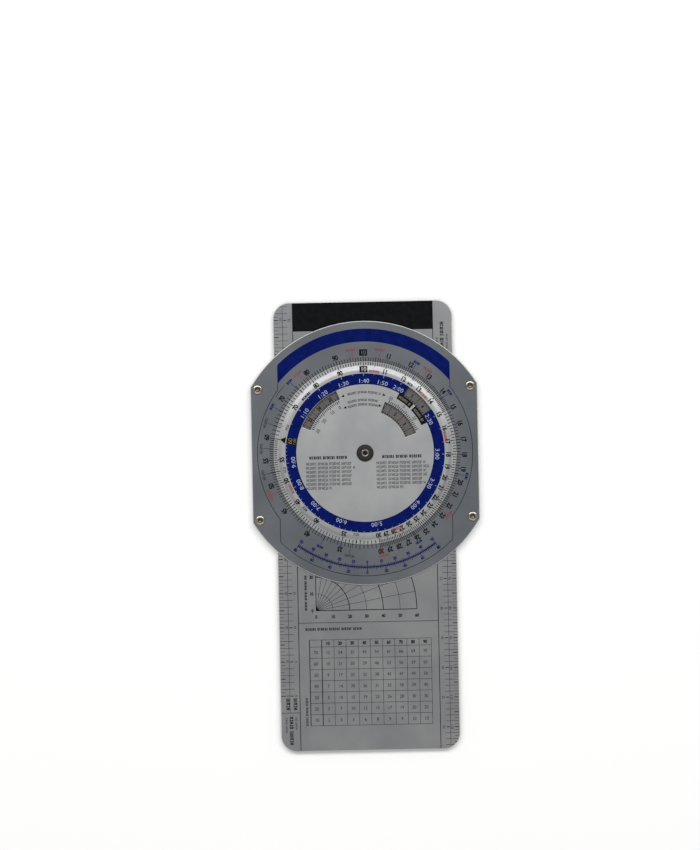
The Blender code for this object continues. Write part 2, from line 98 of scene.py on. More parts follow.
def both_sides(quarter):
    """An upper right quarter and its mirror image, as one line from right to left."""
    return quarter + [(-x, y) for x, y in quarter[-2::-1]]


def body_outline():
    half = both_sides(upper_right(body_radius, body_half_width, BODY_CORNER_RADIUS))
    return half + [(-x, -y) for x, y in half]


def rivet_holes(sides=(-1, 1)):
    """The rivets' holes on the left (-1), the right (1) or both sides."""
    spots = [spot.xy for spot in rivet_spots.values() if math.copysign(1, spot.x) in sides]
    return [circle(RIVET_HOLE_RADIUS, spot, BORE_STEP) for spot in spots]


def placed(name, data):
    """A new object in the scene for a mesh, a curve, a lamp or a camera."""
    thing = bpy.data.objects.new(name, data)
    bpy.context.scene.collection.objects.link(thing)
    return thing


def settled(holder, weld):
    """The closed shape that an object's curve and modifiers come to. The object is used up."""
    bpy.context.view_layer.update()
    mesh = bpy.data.meshes.new_from_object(holder.evaluated_get(bpy.context.evaluated_depsgraph_get()))
    mesh.transform(holder.matrix_world)
    bpy.data.objects.remove(holder)
    shape = bmesh.new()
    shape.from_mesh(mesh)
    bmesh.ops.remove_doubles(shape, verts=shape.verts, dist=weld)
    bmesh.ops.recalc_face_normals(shape, faces=shape.faces)
    return shape


def as_mesh(name, shape, *finishes):
    """The mesh of a shape, with its finishes. The shape is used up."""
    mesh = bpy.data.meshes.new(name)
    shape.to_mesh(mesh)
    shape.free()
    for finish in finishes:
        mesh.materials.append(finish)
    return mesh


def blanked_sheet(node, outlines, centre=pivot):
    """A flat sheet with broken edges, as thick as its node. Outlines after the first are holes."""
    low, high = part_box(node)
    curve = bpy.data.curves.new("blank", "CURVE")
    curve.dimensions = "2D"
    curve.fill_mode = "BOTH"
    curve.extrude = (high.z - low.z) / 2 - EDGE_BREAK
    curve.bevel_depth = EDGE_BREAK
    curve.bevel_resolution = 3
    curve.offset = -EDGE_BREAK
    for outline in outlines:
        spline = curve.splines.new("POLY")
        spline.points.add(len(outline) - 1)
        for point, (x, y) in zip(spline.points, outline):
            point.co = (x, y, 0.0, 1.0)
        spline.use_cyclic_u = True
    holder = placed("blank", curve)
    holder.location = (centre.x, centre.y, (low.z + high.z) / 2)
    return settled(holder, WELD)


def sheet_piece(name, shape, face_finish, edge_finish, upright=FLAT_FACE):
    """A piece of sheet: broad faces take one finish, and the edges, kept crisp against them, another."""
    bmesh.ops.dissolve_degenerate(shape, edges=shape.edges, dist=WELD)
    shape.normal_update()
    for face in shape.faces:
        face.smooth = True
        face.material_index = 0 if abs(face.normal.z) > upright else 1
    for edge in shape.edges:
        edge.smooth = len({face.material_index for face in edge.link_faces}) == 1
    return placed(name, as_mesh(name, shape, face_finish, edge_finish))


def linear(hex_code):
    """An sRGB hex colour as linear red, green, blue and alpha."""
    channels = [int(hex_code[i : i + 2], 16) / 255 for i in (1, 3, 5)]
    return [c / 12.92 if c <= 0.04045 else ((c + 0.055) / 1.055) ** 2.4 for c in channels] + [1.0]


def set_inputs(finish, node, inputs):
    """Sets a node's inputs, and links those that are given another node's output."""
    for name, value in inputs.items():
        if isinstance(value, bpy.types.NodeSocket):
            finish.node_tree.links.new(value, node.inputs[name])
        else:
            node.inputs[name].default_value = value


def add_node(finish, kind, inputs, **settings):
    """Adds a node with its settings and inputs."""
    node = finish.node_tree.nodes.new(kind)
    for name, value in settings.items():
        setattr(node, name, value)
    set_inputs(finish, node, inputs)
    return node


def new_finish(name, shades, clouds, sockets, grains=None, dull=None, relief=None, stretch=None):
    """A material whose colour drifts from a dark to a pale shade over clouds. Its roughness (dull, from and
    to) and its relief (strength and depth) follow finer grains, or else the clouds. A pattern is given as its
    real size and its detail, stretch draws it out, and sockets holds what is the same all over."""
    finish = bpy.data.materials.new(name)
    finish.use_nodes = True
    place = add_node(finish, "ShaderNodeTexCoord", {}).outputs["Object"]
    if stretch:
        place = add_node(finish, "ShaderNodeMapping", {"Vector": place, "Scale": stretch}).outputs["Vector"]
    patterns = []
    for size, detail in filter(None, (clouds, grains)):
        wave = {"Vector": place, "Scale": 1 / size, "Detail": detail}
        patterns.append(add_node(finish, "ShaderNodeTexNoise", wave).outputs["Fac"])
    ramp = add_node(finish, "ShaderNodeValToRGB", {"Fac": patterns[0]})
    for stop, position, shade in zip(ramp.color_ramp.elements, TONE_RANGE, shades):
        stop.position = position
        stop.color = linear(shade)
    surface = {"Base Color": ramp.outputs["Color"], **sockets}
    if dull:
        spread = {"Value": patterns[-1], "To Min": dull[0], "To Max": dull[1]}
        surface["Roughness"] = add_node(finish, "ShaderNodeMapRange", spread).outputs["Result"]
    if relief:
        bumps = {"Height": patterns[-1], "Strength": relief[0], "Distance": relief[1]}
        surface["Normal"] = add_node(finish, "ShaderNodeBump", bumps).outputs["Normal"]
    set_inputs(finish, finish.node_tree.nodes["Principled BSDF"], surface)
    return finish


def anodised_sheet(name, shades, roughness):
    """Satin anodised aluminium, etched before the clear oxide film was grown on it.
    The eye sees a soft grey sheen, slightly cloudy, with a fine even grain and no mirror image."""
    return new_finish(
        name,
        shades,
        (CLOUD_SIZE, 4.0),
        {"Metallic": 0.9},
        grains=(ETCH_GRAIN, 2.0),
        dull=(roughness - ETCH_SPREAD, roughness + ETCH_SPREAD),
        relief=ETCH_RELIEF,
    )


satin_plate = anodised_sheet("satin_anodised_plate", PLATE_GREYS, SATIN_ROUGHNESS)
# Bare aluminium, rubbed by handling. The eye sees a thin bright line that breaks up along its length.
bare_edge = new_finish(
    "rubbed_aluminium_edge", EDGE_SILVERS, (RUB_SIZE, 3.0), {"Metallic": 1.0}, dull=(0.36, 0.6)
)
back_sheet = blanked_sheet("back_plate", [body_outline(), circle(RING_OPENING_RADIUS), *rivet_holes()])
back_plate = sheet_piece("back_plate_sheet", back_sheet, satin_plate, bare_edge)
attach(back_plate, "body")
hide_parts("back_plate")

# Drift scale on the back plate: screen printed in black beside the ring opening, with a triangular index
# at the top. Each number and line is a thin film of ink that stands just proud of the metal.
INK_FILM = 0.06 * MM  # half of it is sunk in the sheet; real ink is thinner
INK_LAYER = 0.02 * MM  # how far one ink stands above another that it overprints
CAP_SHARE = 0.69  # cap height of the built-in type at size 1
SORT_WELD = 0.0005  # on type with a cap height of 1
BOLD_TYPE = (0.06, 0.86, 0.6)  # how far strokes are fattened, how narrow the type is, and a digit's advance
LIGHT_TYPE = (0.0, 0.94, 0.66)
WIDE_TYPE = (0.0, 1.04, 0.78)
COLON_SHARE = 0.56  # a colon's advance beside a digit's
FINE_TICK = 0.22 * MM
DRIFT_REACH = 40  # degrees each way
DRIFT_TICK_INNER = 53.4 * MM
DRIFT_TICK_REACH = (1.4 * MM, 2.0 * MM, 2.6 * MM)  # of an ordinary tick, a fifth one and a tenth one
DRIFT_NUMBER_RADIUS = 58.0 * MM
DRIFT_NUMBER_HEIGHT = 2.3 * MM
DRIFT_INDEX_INNER = 56.4 * MM
DRIFT_INDEX_SIZE = (4.4 * MM, 4.4 * MM)
BLACKS = ("#0f1012", "#151618")
FILM_CLOUD = 3.0 * MM
MESH_MARK = 0.25 * MM  # the print of the screen's mesh
MESH_RELIEF = (0.15, 0.01 * MM)
type_case = {}


def at(x, y, turn=0.0):
    """A place on a flat face: a point, and an anticlockwise turn."""
    return Matrix.Translation((x, y, 0.0)) @ Matrix.Rotation(turn, 4, "Z")


def on_dial(radius, bearing):
    """A place on a dial: a radius, and a bearing clockwise from the top, with +Y pointing outwards."""
    return Matrix.Rotation(-bearing, 4, "Z") @ Matrix.Translation((0.0, radius, 0.0))


def stroke(ink, place, width, length):
    """A straight printed line, centred on its place and running along its +Y."""
    size = Matrix.Diagonal((width, length, INK_FILM, 1.0))
    bmesh.ops.create_cube(ink, size=1.0, matrix=place @ size)


def tick(ink, bearing, base, tip, width=FINE_TICK):
    """A stroke that points outwards on a dial, between two radii given in either order."""
    stroke(ink, on_dial((base + tip) / 2, bearing), width, abs(tip - base))


def tick_reach(count, reaches):
    """How long a tick is: an ordinary one, a fifth one or a tenth one."""
    return reaches[2 if count % 10 == 0 else 1 if count % 5 == 0 else 0]


def triangle(ink, place, width, height):
    """A printed triangle that stands on its place and points along its +Y, or back for a height below 0."""
    points = [(-width / 2, 0.0), (width / 2, 0.0), (0.0, height)]
    top = [ink.verts.new(place @ Vector((x, y, INK_FILM / 2))) for x, y in points]
    low = [ink.verts.new(place @ Vector((x, y, -INK_FILM / 2))) for x, y in points]
    ink.faces.new(top)
    ink.faces.new(low[::-1])
    for i in range(3):
        ink.faces.new((top[i - 1], low[i - 1], low[i], top[i]))


def ribbon(ink, left, right, closed=False):
    """A printed strip between two lines of as many points each."""
    low, top = -INK_FILM / 2, INK_FILM / 2
    rungs = []
    for a, b in zip(left, right):
        corners = ((*a, low), (*b, low), (*b, top), (*a, top))
        rungs.append([ink.verts.new(corner) for corner in corners])
    pairs = list(zip(rungs, rungs[1:]))
    if closed:
        pairs.append((rungs[-1], rungs[0]))
    else:
        ink.faces.new(rungs[0])
        ink.faces.new(rungs[-1][::-1])
    for near, far in pairs:
        for i in range(4):
            ink.faces.new((near[i - 1], near[i], far[i], far[i - 1]))


def band(ink, inner, outer, start, end):
    """A printed strip that follows the dial between two radii and two bearings."""
    ribbon(ink, *(arc(radius, math.pi / 2 - start, math.pi / 2 - end) for radius in (inner, outer)))


def type_sort(character, fattening):
    """One character as a closed mesh, with a cap height and a thickness of 1."""
    if (character, fattening) not in type_case:
        letter = bpy.data.curves.new("sort", "FONT")
        letter.body = character
        letter.align_x = "CENTER"
        letter.size = 1 / CAP_SHARE
        letter.resolution_u = 3
        letter.offset = fattening
        letter.extrude = 0.5
        sort = settled(placed("sort", letter), SORT_WELD)
        bmesh.ops.dissolve_degenerate(sort, edges=sort.edges, dist=SORT_WELD)
        level = [face for face in sort.faces if len({vert.co.z > 0 for vert in face.verts}) == 1]
        level = bmesh.ops.triangulate(sort, faces=level)["faces"]
        inner = [edge for edge in sort.edges if all(face in level for face in edge.link_faces)]
        bmesh.ops.beautify_fill(sort, faces=level, edges=inner)
        type_case[character, fattening] = as_mesh("sort", sort)
    return type_case[character, fattening]


def lettering(ink, text, height, place, weight=BOLD_TYPE):
    """Numbers or single letters, centred on their place, with their tops towards its +Y."""
    fattening, narrowing, advance_share = weight
    advances = [height * advance_share * (COLON_SHARE if character == ":" else 1.0) for character in text]
    size = Matrix.Diagonal((height * narrowing, height, INK_FILM, 1.0))
    x = -sum(advances) / 2
    for character, advance in zip(text, advances):
        first = len(ink.verts)
        ink.from_mesh(type_sort(character, fattening))
        ink.verts.ensure_lookup_table()
        spot = place @ at(x + advance / 2, -height / 2) @ size
        bmesh.ops.transform(ink, matrix=spot, verts=ink.verts[first:])
        x += advance


def printed(name, ink, seat, finish, body):
    """Lays a drawn ink on its face and makes it a piece that rides with its body."""
    bmesh.ops.transform(ink, matrix=seat, verts=ink.verts)
    bmesh.ops.recalc_face_normals(ink, faces=ink.faces)
    piece = placed(name, as_mesh(name, ink, finish))
    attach(piece, body)


def facing_up(height, layer=0, centre=pivot):
    """Where print on an upper face lies: its height, and how many inks are under it."""
    return Matrix.Translation((centre.x, centre.y, height + layer * INK_LAYER))


def facing_down(height, layer=0, centre=pivot):
    """Where print on an under face lies, turned over so that it reads from behind."""
    return facing_up(height, -layer, centre) @ Matrix.Rotation(math.pi, 4, "Y")


def printing_ink(name, shades):
    """Baked screen-printing ink.
    The eye sees a flat, dense colour whose film is a little uneven, with a dull sheen."""
    sheen = {"Roughness": 0.5, "Specular IOR Level": 0.02}
    return new_finish(name, shades, (FILM_CLOUD, 4.0), sheen, grains=(MESH_MARK, 2.0), relief=MESH_RELIEF)


black_ink = printing_ink("black_screen_ink", BLACKS)
drift_print = bmesh.new()
for degrees in range(-DRIFT_REACH, DRIFT_REACH + 1):
    bearing = math.radians(degrees)
    reach = tick_reach(degrees, DRIFT_TICK_REACH)
    tick(drift_print, bearing, DRIFT_TICK_INNER, DRIFT_TICK_INNER + reach)
    if degrees and degrees % 10 == 0:
        lettering(drift_print, str(abs(degrees)), DRIFT_NUMBER_HEIGHT, on_dial(DRIFT_NUMBER_RADIUS, bearing))
index_width, index_height = DRIFT_INDEX_SIZE
triangle(drift_print, on_dial(DRIFT_INDEX_INNER + index_height, 0.0), index_width, -index_height)
printed("back_plate_drift_print", drift_print, facing_down(back_low.z), black_ink, "body")

# Compass ring: an aluminium ring turned with a flange that the back plate traps, so that it spins in the
# opening under the thumb. Its face is anodised silver and printed with 360 degrees and the four quarters.
DISC_SILVERS = ("#909192", "#9c9d9d")
RING_INNER_RADIUS = 40.1 * MM
RING_SEAT_RADIUS = 42.5 * MM
RING_FACE_RADIUS = 52.1 * MM
RING_FLANGE_RADIUS = 56.1 * MM
RING_SEAT_BELOW_TOP = 0.8 * MM
RING_STEPS = 240
CORNER_POINTS = (0.0, 0.3, 0.7, 1.0)  # how far round a softened corner its points lie
COMPASS_TICK_OUTER = 51.7 * MM
COMPASS_TICK_REACH = (1.5 * MM, 2.2 * MM, 2.9 * MM)
COMPASS_NUMBER_RADIUS = 47.2 * MM
COMPASS_NUMBER_HEIGHT = 2.2 * MM
COMPASS_LETTER_RADIUS = 43.2 * MM
COMPASS_LETTER_HEIGHT = 3.4 * MM
NARROW_TICK = 0.2 * MM
REDS = ("#802a31", "#8c343b")


def turned(profile, steps, centre=pivot, closed=True):
    """A shape turned about an upright axis from (radius, height) points. An open profile ends on the axis."""
    shape = bmesh.new()
    points = [shape.verts.new((radius, 0.0, height)) for radius, height in profile]
    following = points[1:] + points[:1] if closed else points[1:]
    edges = [shape.edges.new(pair) for pair in zip(points, following)]
    spin = {"axis": (0.0, 0.0, 1.0), "cent": (0.0, 0.0, 0.0), "angle": 2 * math.pi, "steps": steps}
    bmesh.ops.spin(shape, geom=points + edges, **spin)
    bmesh.ops.remove_doubles(shape, verts=shape.verts, dist=WELD)
    bmesh.ops.recalc_face_normals(shape, faces=shape.faces)
    bmesh.ops.translate(shape, vec=(centre.x, centre.y, 0.0), verts=shape.verts)
    return shape


def softened(radii, heights, cut):
    """An outline that steps from radius to radius and from height to height in turn, and back to its start,
    with each corner rounded, starting the given length before the corner."""
    points = []
    for i, radius in enumerate(radii):
        points += [(radius, heights[i]), (radius, heights[(i + 1) % len(heights)])]
    outline = []
    for i, corner in enumerate(points):
        here = Vector(corner)
        start = here + (Vector(points[i - 1]) - here).normalized() * cut
        end = here + (Vector(points[(i + 1) % len(points)]) - here).normalized() * cut
        for t in CORNER_POINTS:
            outline.append(tuple(start * (1 - t) ** 2 + here * 2 * t * (1 - t) + end * t**2))
    return outline


silver_disc = anodised_sheet("silver_anodised_disc", DISC_SILVERS, SATIN_ROUGHNESS)
ring_low, ring_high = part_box("azimuth_ring")
flange_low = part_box("azimuth_frame")[0].z
ring_radii = (RING_INNER_RADIUS, RING_SEAT_RADIUS, RING_FLANGE_RADIUS, RING_FACE_RADIUS)
ring_heights = (ring_low.z, ring_high.z - RING_SEAT_BELOW_TOP, ring_high.z, flange_low)
ring_shape = turned(softened(ring_radii, ring_heights, EDGE_BREAK), RING_STEPS)
compass_ring = sheet_piece("compass_ring", ring_shape, silver_disc, bare_edge)
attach(compass_ring, "compass")
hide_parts("azimuth_ring")

red_ink = printing_ink("red_screen_ink", REDS)
compass_black = bmesh.new()
compass_red = bmesh.new()
for degrees in range(360):
    bearing = math.radians(degrees)
    reach = tick_reach(degrees, COMPASS_TICK_REACH)
    tick(compass_black, bearing, COMPASS_TICK_OUTER - reach, COMPASS_TICK_OUTER, NARROW_TICK)
    if degrees % 90 == 0:
        place = on_dial(COMPASS_LETTER_RADIUS, bearing)
        lettering(compass_red, "NESW"[degrees // 90], COMPASS_LETTER_HEIGHT, place)
    if degrees % 10 == 0:
        place = on_dial(COMPASS_NUMBER_RADIUS, bearing)
        lettering(compass_black, str(degrees or 360), COMPASS_NUMBER_HEIGHT, place)
compass_face = facing_down(ring_low.z)
printed("compass_black_print", compass_black, compass_face, black_ink, "compass")
printed("compass_red_print", compass_red, compass_face, red_ink, "compass")

# Plotting disc: a disc of frosted polycarbonate that pencil marks can be wiped off, dropped into the ring's
# seat, with the slide's wind grid showing through it. A small brass eyelet marks its centre.
PLOTTING_RADIUS = 42.2 * MM
PLOTTING_BORE = 1.35 * MM
PLOTTING_EDGE_BREAK = 0.2 * MM
PLOTTING_STEPS = 180
FROST_WHITES = ("#dfe3e2", "#eef1f0")
FROST_GRAIN = 0.3 * MM
GROMMET_HOLE = 0.5 * MM
GROMMET_SHANK = 1.2 * MM
GROMMET_FLANGE = 2.2 * MM
GROMMET_FLANGE_THICKNESS = 0.3 * MM
GROMMET_ROUNDING = 0.1 * MM
SMALL_TURN_STEPS = 48
SHARP_EDGE = math.radians(40.0)
NICKELS = ("#8b857b", "#b5afa5")
STAIN_SIZE = 0.9 * MM


def nickel_plate(name, shades, dull=(0.16, 0.36)):
    """Brass with a thin nickel plate, pressed and rolled in a die.
    The eye sees a warm silver shine, duller where it has begun to tarnish."""
    return new_finish(name, shades, (STAIN_SIZE, 4.0), {"Metallic": 1.0}, dull=dull)


def turned_piece(name, shape, finish, hollow_finish=None, hollow=(0.0, 0.0), centre=pivot):
    """A small turned piece, shaded round except at its sharp edges. Its hollow, which is given as a radius
    and the height that it lies above, may have a finish of its own."""
    radius, floor = hollow
    for face in shape.faces:
        middle = face.calc_center_median()
        face.material_index = int((middle - centre).xy.length < radius and middle.z > floor)
    mesh = as_mesh(name, shape, *filter(None, (finish, hollow_finish)))
    mesh.shade_smooth()
    mesh.set_sharp_from_angle(angle=SHARP_EDGE)
    return placed(name, mesh)


plot_low, plot_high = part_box("plotting_disc")
plot_outline = softened((PLOTTING_BORE, PLOTTING_RADIUS), (plot_low.z, plot_high.z), PLOTTING_EDGE_BREAK)
# Clear polycarbonate, frosted by blasting the mould. The eye sees a milky, faintly mottled sheet that lets
# the print behind it through.
frosted_clear = new_finish(
    "frosted_polycarbonate", FROST_WHITES, (FROST_GRAIN, 3.0), {"Alpha": 0.22, "IOR": 1.58}, dull=(0.34, 0.5)
)
plot_shape = turned(plot_outline, PLOTTING_STEPS)
plotting_disc = sheet_piece("plotting_window", plot_shape, frosted_clear, frosted_clear)
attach(plotting_disc, "compass")
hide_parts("plotting_disc")

nickel = nickel_plate("nickel_plated_brass", NICKELS, (0.07, 0.2))
grommet_low, grommet_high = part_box("centre_grommet")
grommet_radii = (GROMMET_HOLE, GROMMET_SHANK, GROMMET_FLANGE)
grommet_heights = (grommet_low.z, grommet_high.z, grommet_low.z + GROMMET_FLANGE_THICKNESS)
grommet_outline = softened(grommet_radii, grommet_heights, GROMMET_ROUNDING)
grommet = turned_piece("plotting_grommet", turned(grommet_outline, SMALL_TURN_STEPS), nickel)
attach(grommet, "compass")
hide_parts("centre_grommet")

# Azimuth frame and guide strips: plain aluminium laminations between the two plates. The frame gives the
# ring's flange its room, and the strips leave the slot that the slide runs in, with a notch for each spring.
FLANGE_POCKET_RADIUS = 56.4 * MM
SPRING_NOTCH_HALF_LENGTH = 15.0 * MM
SPRING_NOTCH_DEPTH = 1.8 * MM
MILL_SILVERS = ("#a3a4a4", "#b2b3b2")
MILL_ROUGHNESS = 0.34


def guide_outline(side, inner):
    """A strip between the slide's slot and the body's edge, on the left (-1) or the right (1)."""
    outer = [(x, y) for x, y in body_outline() if x > inner]
    tip = math.sqrt(body_radius**2 - inner**2)
    upper = [(x, y) for x, y in outer if y > 0]
    lower = [(x, y) for x, y in outer if y < 0]
    floor = inner + SPRING_NOTCH_DEPTH
    reach = SPRING_NOTCH_HALF_LENGTH
    notch = [(inner, reach), (floor, reach), (floor, -reach), (inner, -reach)]
    outline = lower + upper + [(inner, tip), *notch, (inner, -tip)]
    return [(side * x, y) for x, y in outline]


frame_outlines = [body_outline(), circle(FLANGE_POCKET_RADIUS), *rivet_holes()]
frame_sheet = blanked_sheet("azimuth_frame", frame_outlines)
frame_plate = sheet_piece("azimuth_frame_sheet", frame_sheet, satin_plate, bare_edge)
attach(frame_plate, "body")
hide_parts("azimuth_frame")

mill_sheet = anodised_sheet("mill_finish_aluminium", MILL_SILVERS, MILL_ROUGHNESS)
for word, side in (("left", -1), ("right", 1)):
    inner_edge = min(abs(corner.x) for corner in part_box(f"guide_{word}"))
    strip = blanked_sheet(f"guide_{word}", [guide_outline(side, inner_edge), *rivet_holes((side,))])
    guide = sheet_piece(f"guide_strip_{word}", strip, mill_sheet, bare_edge)
    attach(guide, "body")
    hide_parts(f"guide_{word}")

# Springs: a bowed strip of spring steel in each guide's notch, that presses on the slide's edge and keeps it
# where it is put, and a wavy washer of the same steel under the dial. They are hidden inside the body, so
# the frame's own solids stay.
BLUED_GREYS = ("#4a4d57", "#6b6f78")
ROLLING_LINE = 0.3 * MM
ROLLING_LINE_LENGTH = 8.0 * MM


def refinished(node, finish):
    """Gives a node of the frame its finish."""
    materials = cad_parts[node].data.materials
    materials.clear()
    materials.append(finish)


# Hardened strip, tempered until it blued. The eye sees a dark blue-grey metal with rolling lines along it.
blued_steel = new_finish(
    "blued_spring_steel",
    BLUED_GREYS,
    (ROLLING_LINE, 3.0),
    {"Metallic": 1.0, "Roughness": 0.3},
    stretch=(1.0, ROLLING_LINE / ROLLING_LINE_LENGTH, ROLLING_LINE),
)
for spring in ("leaf_spring_left", "leaf_spring_right", "spring_washer"):
    refinished(spring, blued_steel)

# Wind slide: a long aluminium sheet with round corners that runs through the body. The side under the dial
# is printed with two chart scales along its edges, a wind graph and two tables of numbers.
SLIDE_CORNER_RADIUS = 8.7 * MM
SLIDE_CORNER_STEP = math.radians(3.0)
SLIDE_SILVERS = ("#7a7c7d", "#858686")
SLIDE_ROUGHNESS = 0.4
HEAD_BLOCK_DEPTH = 15.4 * MM
THIN_RULE = 0.2 * MM
MIDDLE_RULE = 0.26 * MM
STRONG_RULE = 0.357 * MM
BOLD_RULE = 0.42 * MM
MOCK_LETTERS = "lrm ltf lrf l lrt tmf lrtf lt".split()  # left and right stems; top, middle and foot bars
MOCK_WIDTHS = (0.62, 0.5, 0.6, 0.13, 0.6, 0.5, 0.64, 0.4)  # as shares of the height
MOCK_WORD = 6  # letters
MOCK_GAPS = (0.18, 0.62)  # after a letter and after a word, as shares of the height
# Labels of made-up small print: x, y and length and height in mm, quarter turns, and the strokes' weight
SLIDE_LABELS = (
    (-34.2, -55.6, 30.0, 1.4, 0, 0.26),
    (-34.2, -107.9, 15.0, 1.2, 1, 0.22),
    (-33.7, -45.3, 19.0, 1.2, 1, 0.28),
)

slide_low, slide_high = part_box("wind_slide")
slide_half_width = slide_high.x
slide_half_length = slide_high.y
slide_centre = Vector((0.0, 0.0, 0.0))


def slide_outline():
    corners = []
    x = slide_half_width - SLIDE_CORNER_RADIUS
    y = slide_half_length - SLIDE_CORNER_RADIUS
    for quarter, centre in enumerate(((x, y), (-x, y), (-x, -y), (x, -y))):
        start = quarter * math.pi / 2
        corners += arc(SLIDE_CORNER_RADIUS, start, start + math.pi / 2, centre, SLIDE_CORNER_STEP)
    return corners


def mock_text(ink, length, height, path, weight):
    """Made-up marks where small print would be: words of stems and bars, each mark placed by the path."""
    thin = weight * height
    run = 0.0
    count = 0
    while run < length:
        form = MOCK_LETTERS[count % len(MOCK_LETTERS)]
        width = max(MOCK_WIDTHS[count % len(MOCK_WIDTHS)] * height, thin)
        spot = path(run + width / 2)
        left = -width / 2
        right = width / 2
        if "l" in form:
            stroke(ink, spot @ at(left + thin / 2, 0.0), thin, height)
            left += thin
        if "r" in form:
            stroke(ink, spot @ at(right - thin / 2, 0.0), thin, height)
            right -= thin
        for bar, y in (("t", (height - thin) / 2), ("m", 0.0), ("f", (thin - height) / 2)):
            if bar in form and right - left > thin / 10:
                stroke(ink, spot @ at((left + right) / 2, y), right - left, thin)
        count += 1
        run += width + height * MOCK_GAPS[count % MOCK_WORD == 0]


def straight_text(ink, place, length, height, weight):
    """Made-up small print in a straight line from its place."""
    mock_text(ink, length, height, lambda run: place @ at(run, 0.0), weight)


silver_slide = anodised_sheet("silver_anodised_slide", SLIDE_SILVERS, SLIDE_ROUGHNESS)
slide_sheet = blanked_sheet("wind_slide", [slide_outline()], slide_centre)
slide = sheet_piece("slide_sheet", slide_sheet, silver_slide, bare_edge)
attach(slide, "slide")
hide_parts("wind_slide")
slide_front = bmesh.new()

# Chart scales: nautical miles along the slide's left edge and statute miles, turned about, along its right.
# They are screen printed in black: single miles at the edge, and the half scale inside them.
STRIP_WIDTH = 10.55 * MM
STRIP_DIVIDER = 5.1 * MM
NAUTICAL_MILE = 1.852 * MM  # on a chart at 1:1,000,000
STATUTE_MILE = 1.609344 * MM
NAUTICAL_ZERO_INSET = 30.25 * MM  # from the slide's end to the zero line of the scale that starts there
STATUTE_ZERO_INSET = 38.45 * MM
STRIP_FOOT_BELOW_ZERO = 9.2 * MM
SCALE_END_INSET = 1.0 * MM
MILE_REACH = (7.4 * MM, 2.4 * MM)  # of an even and an odd mile's line
FIVE_MILE_REACH = 2.6 * MM
TEN_MILE_LINES = ((0.0, 2.5 * MM), (5.2 * MM, 6.9 * MM))
MILE_NUMBER_HEIGHT = 1.35 * MM
MILE_NUMBER_INSETS = (3.8 * MM, 8.3 * MM)  # of the scale's own number, and of the half scale's
# Labels below the scale: inset, start and length and height in mm, and the strokes' weight
STRIP_LABELS = (
    (3.7, 1.6, 6.0, 1.9, 0.24),
    (7.7, 1.6, 6.0, 1.9, 0.24),
    (2.7, -10.6, 7.6, 1.0, 0.15),
    (5.4, -17.3, 14.2, 1.9, 0.24),
    (8.0, -8.9, 6.0, 1.0, 0.15),
)


def strip_edge(y):
    """Where the printed face ends at the slide's edge, beside the given place along it."""
    beyond = max(0.0, abs(y) - (slide_half_length - SLIDE_CORNER_RADIUS))
    reach = math.sqrt(max(0.0, (SLIDE_CORNER_RADIUS - EDGE_BREAK) ** 2 - beyond**2))
    return slide_half_width - SLIDE_CORNER_RADIUS + reach


def chart_scale(ink, mile, zero_inset, way):
    """A chart scale along the slide's left edge, or along its right edge if the way is half a turn."""
    edge = -strip_edge(0.0)
    divider = STRIP_DIVIDER - slide_half_width
    inner = STRIP_WIDTH - slide_half_width
    zero = zero_inset - slide_half_length
    foot = zero - STRIP_FOOT_BELOW_ZERO
    reach = int((slide_half_length - SCALE_END_INSET - zero) / mile)
    top = zero + reach * mile
    turn = Matrix.Rotation(way, 4, "Z")
    for miles in range(reach + 1):
        y = zero + miles * mile
        if miles % 10 == 0:
            for start, end in TEN_MILE_LINES:
                stroke(ink, turn @ at(edge + (start + end) / 2, y), end - start, BOLD_RULE)
            for number, inset in zip((miles, miles // 2), MILE_NUMBER_INSETS):
                place = turn @ at(edge + inset, y, math.pi / 2)
                lettering(ink, str(number), MILE_NUMBER_HEIGHT, place, LIGHT_TYPE)
        else:
            bold = miles % 5 == 0
            start = -strip_edge(y)
            end = edge + (FIVE_MILE_REACH if bold else MILE_REACH[miles % 2])
            if end > start:
                stroke(ink, turn @ at((start + end) / 2, y), end - start, BOLD_RULE if bold else THIN_RULE)
    stroke(ink, turn @ at(divider, (foot + top) / 2), THIN_RULE, top - foot)
    stroke(ink, turn @ at(inner, 0.0), STRONG_RULE, 2 * (slide_half_length - EDGE_BREAK))
    stroke(ink, turn @ at((edge + inner) / 2, foot), inner - edge, MIDDLE_RULE)
    for inset, start, length, height, weight in STRIP_LABELS:
        place = turn @ at(edge + inset * MM, foot + start * MM, math.pi / 2)
        straight_text(ink, place, length * MM, height * MM, weight)


chart_scale(slide_front, NAUTICAL_MILE, NAUTICAL_ZERO_INSET, 0.0)
chart_scale(slide_front, STATUTE_MILE, STATUTE_ZERO_INSET, math.pi)
head_half_width = slide_half_width - STRIP_WIDTH
head_top = slide_half_length - EDGE_BREAK
stroke(slide_front, at(0.0, head_top - HEAD_BLOCK_DEPTH / 2), 2 * head_half_width, HEAD_BLOCK_DEPTH)

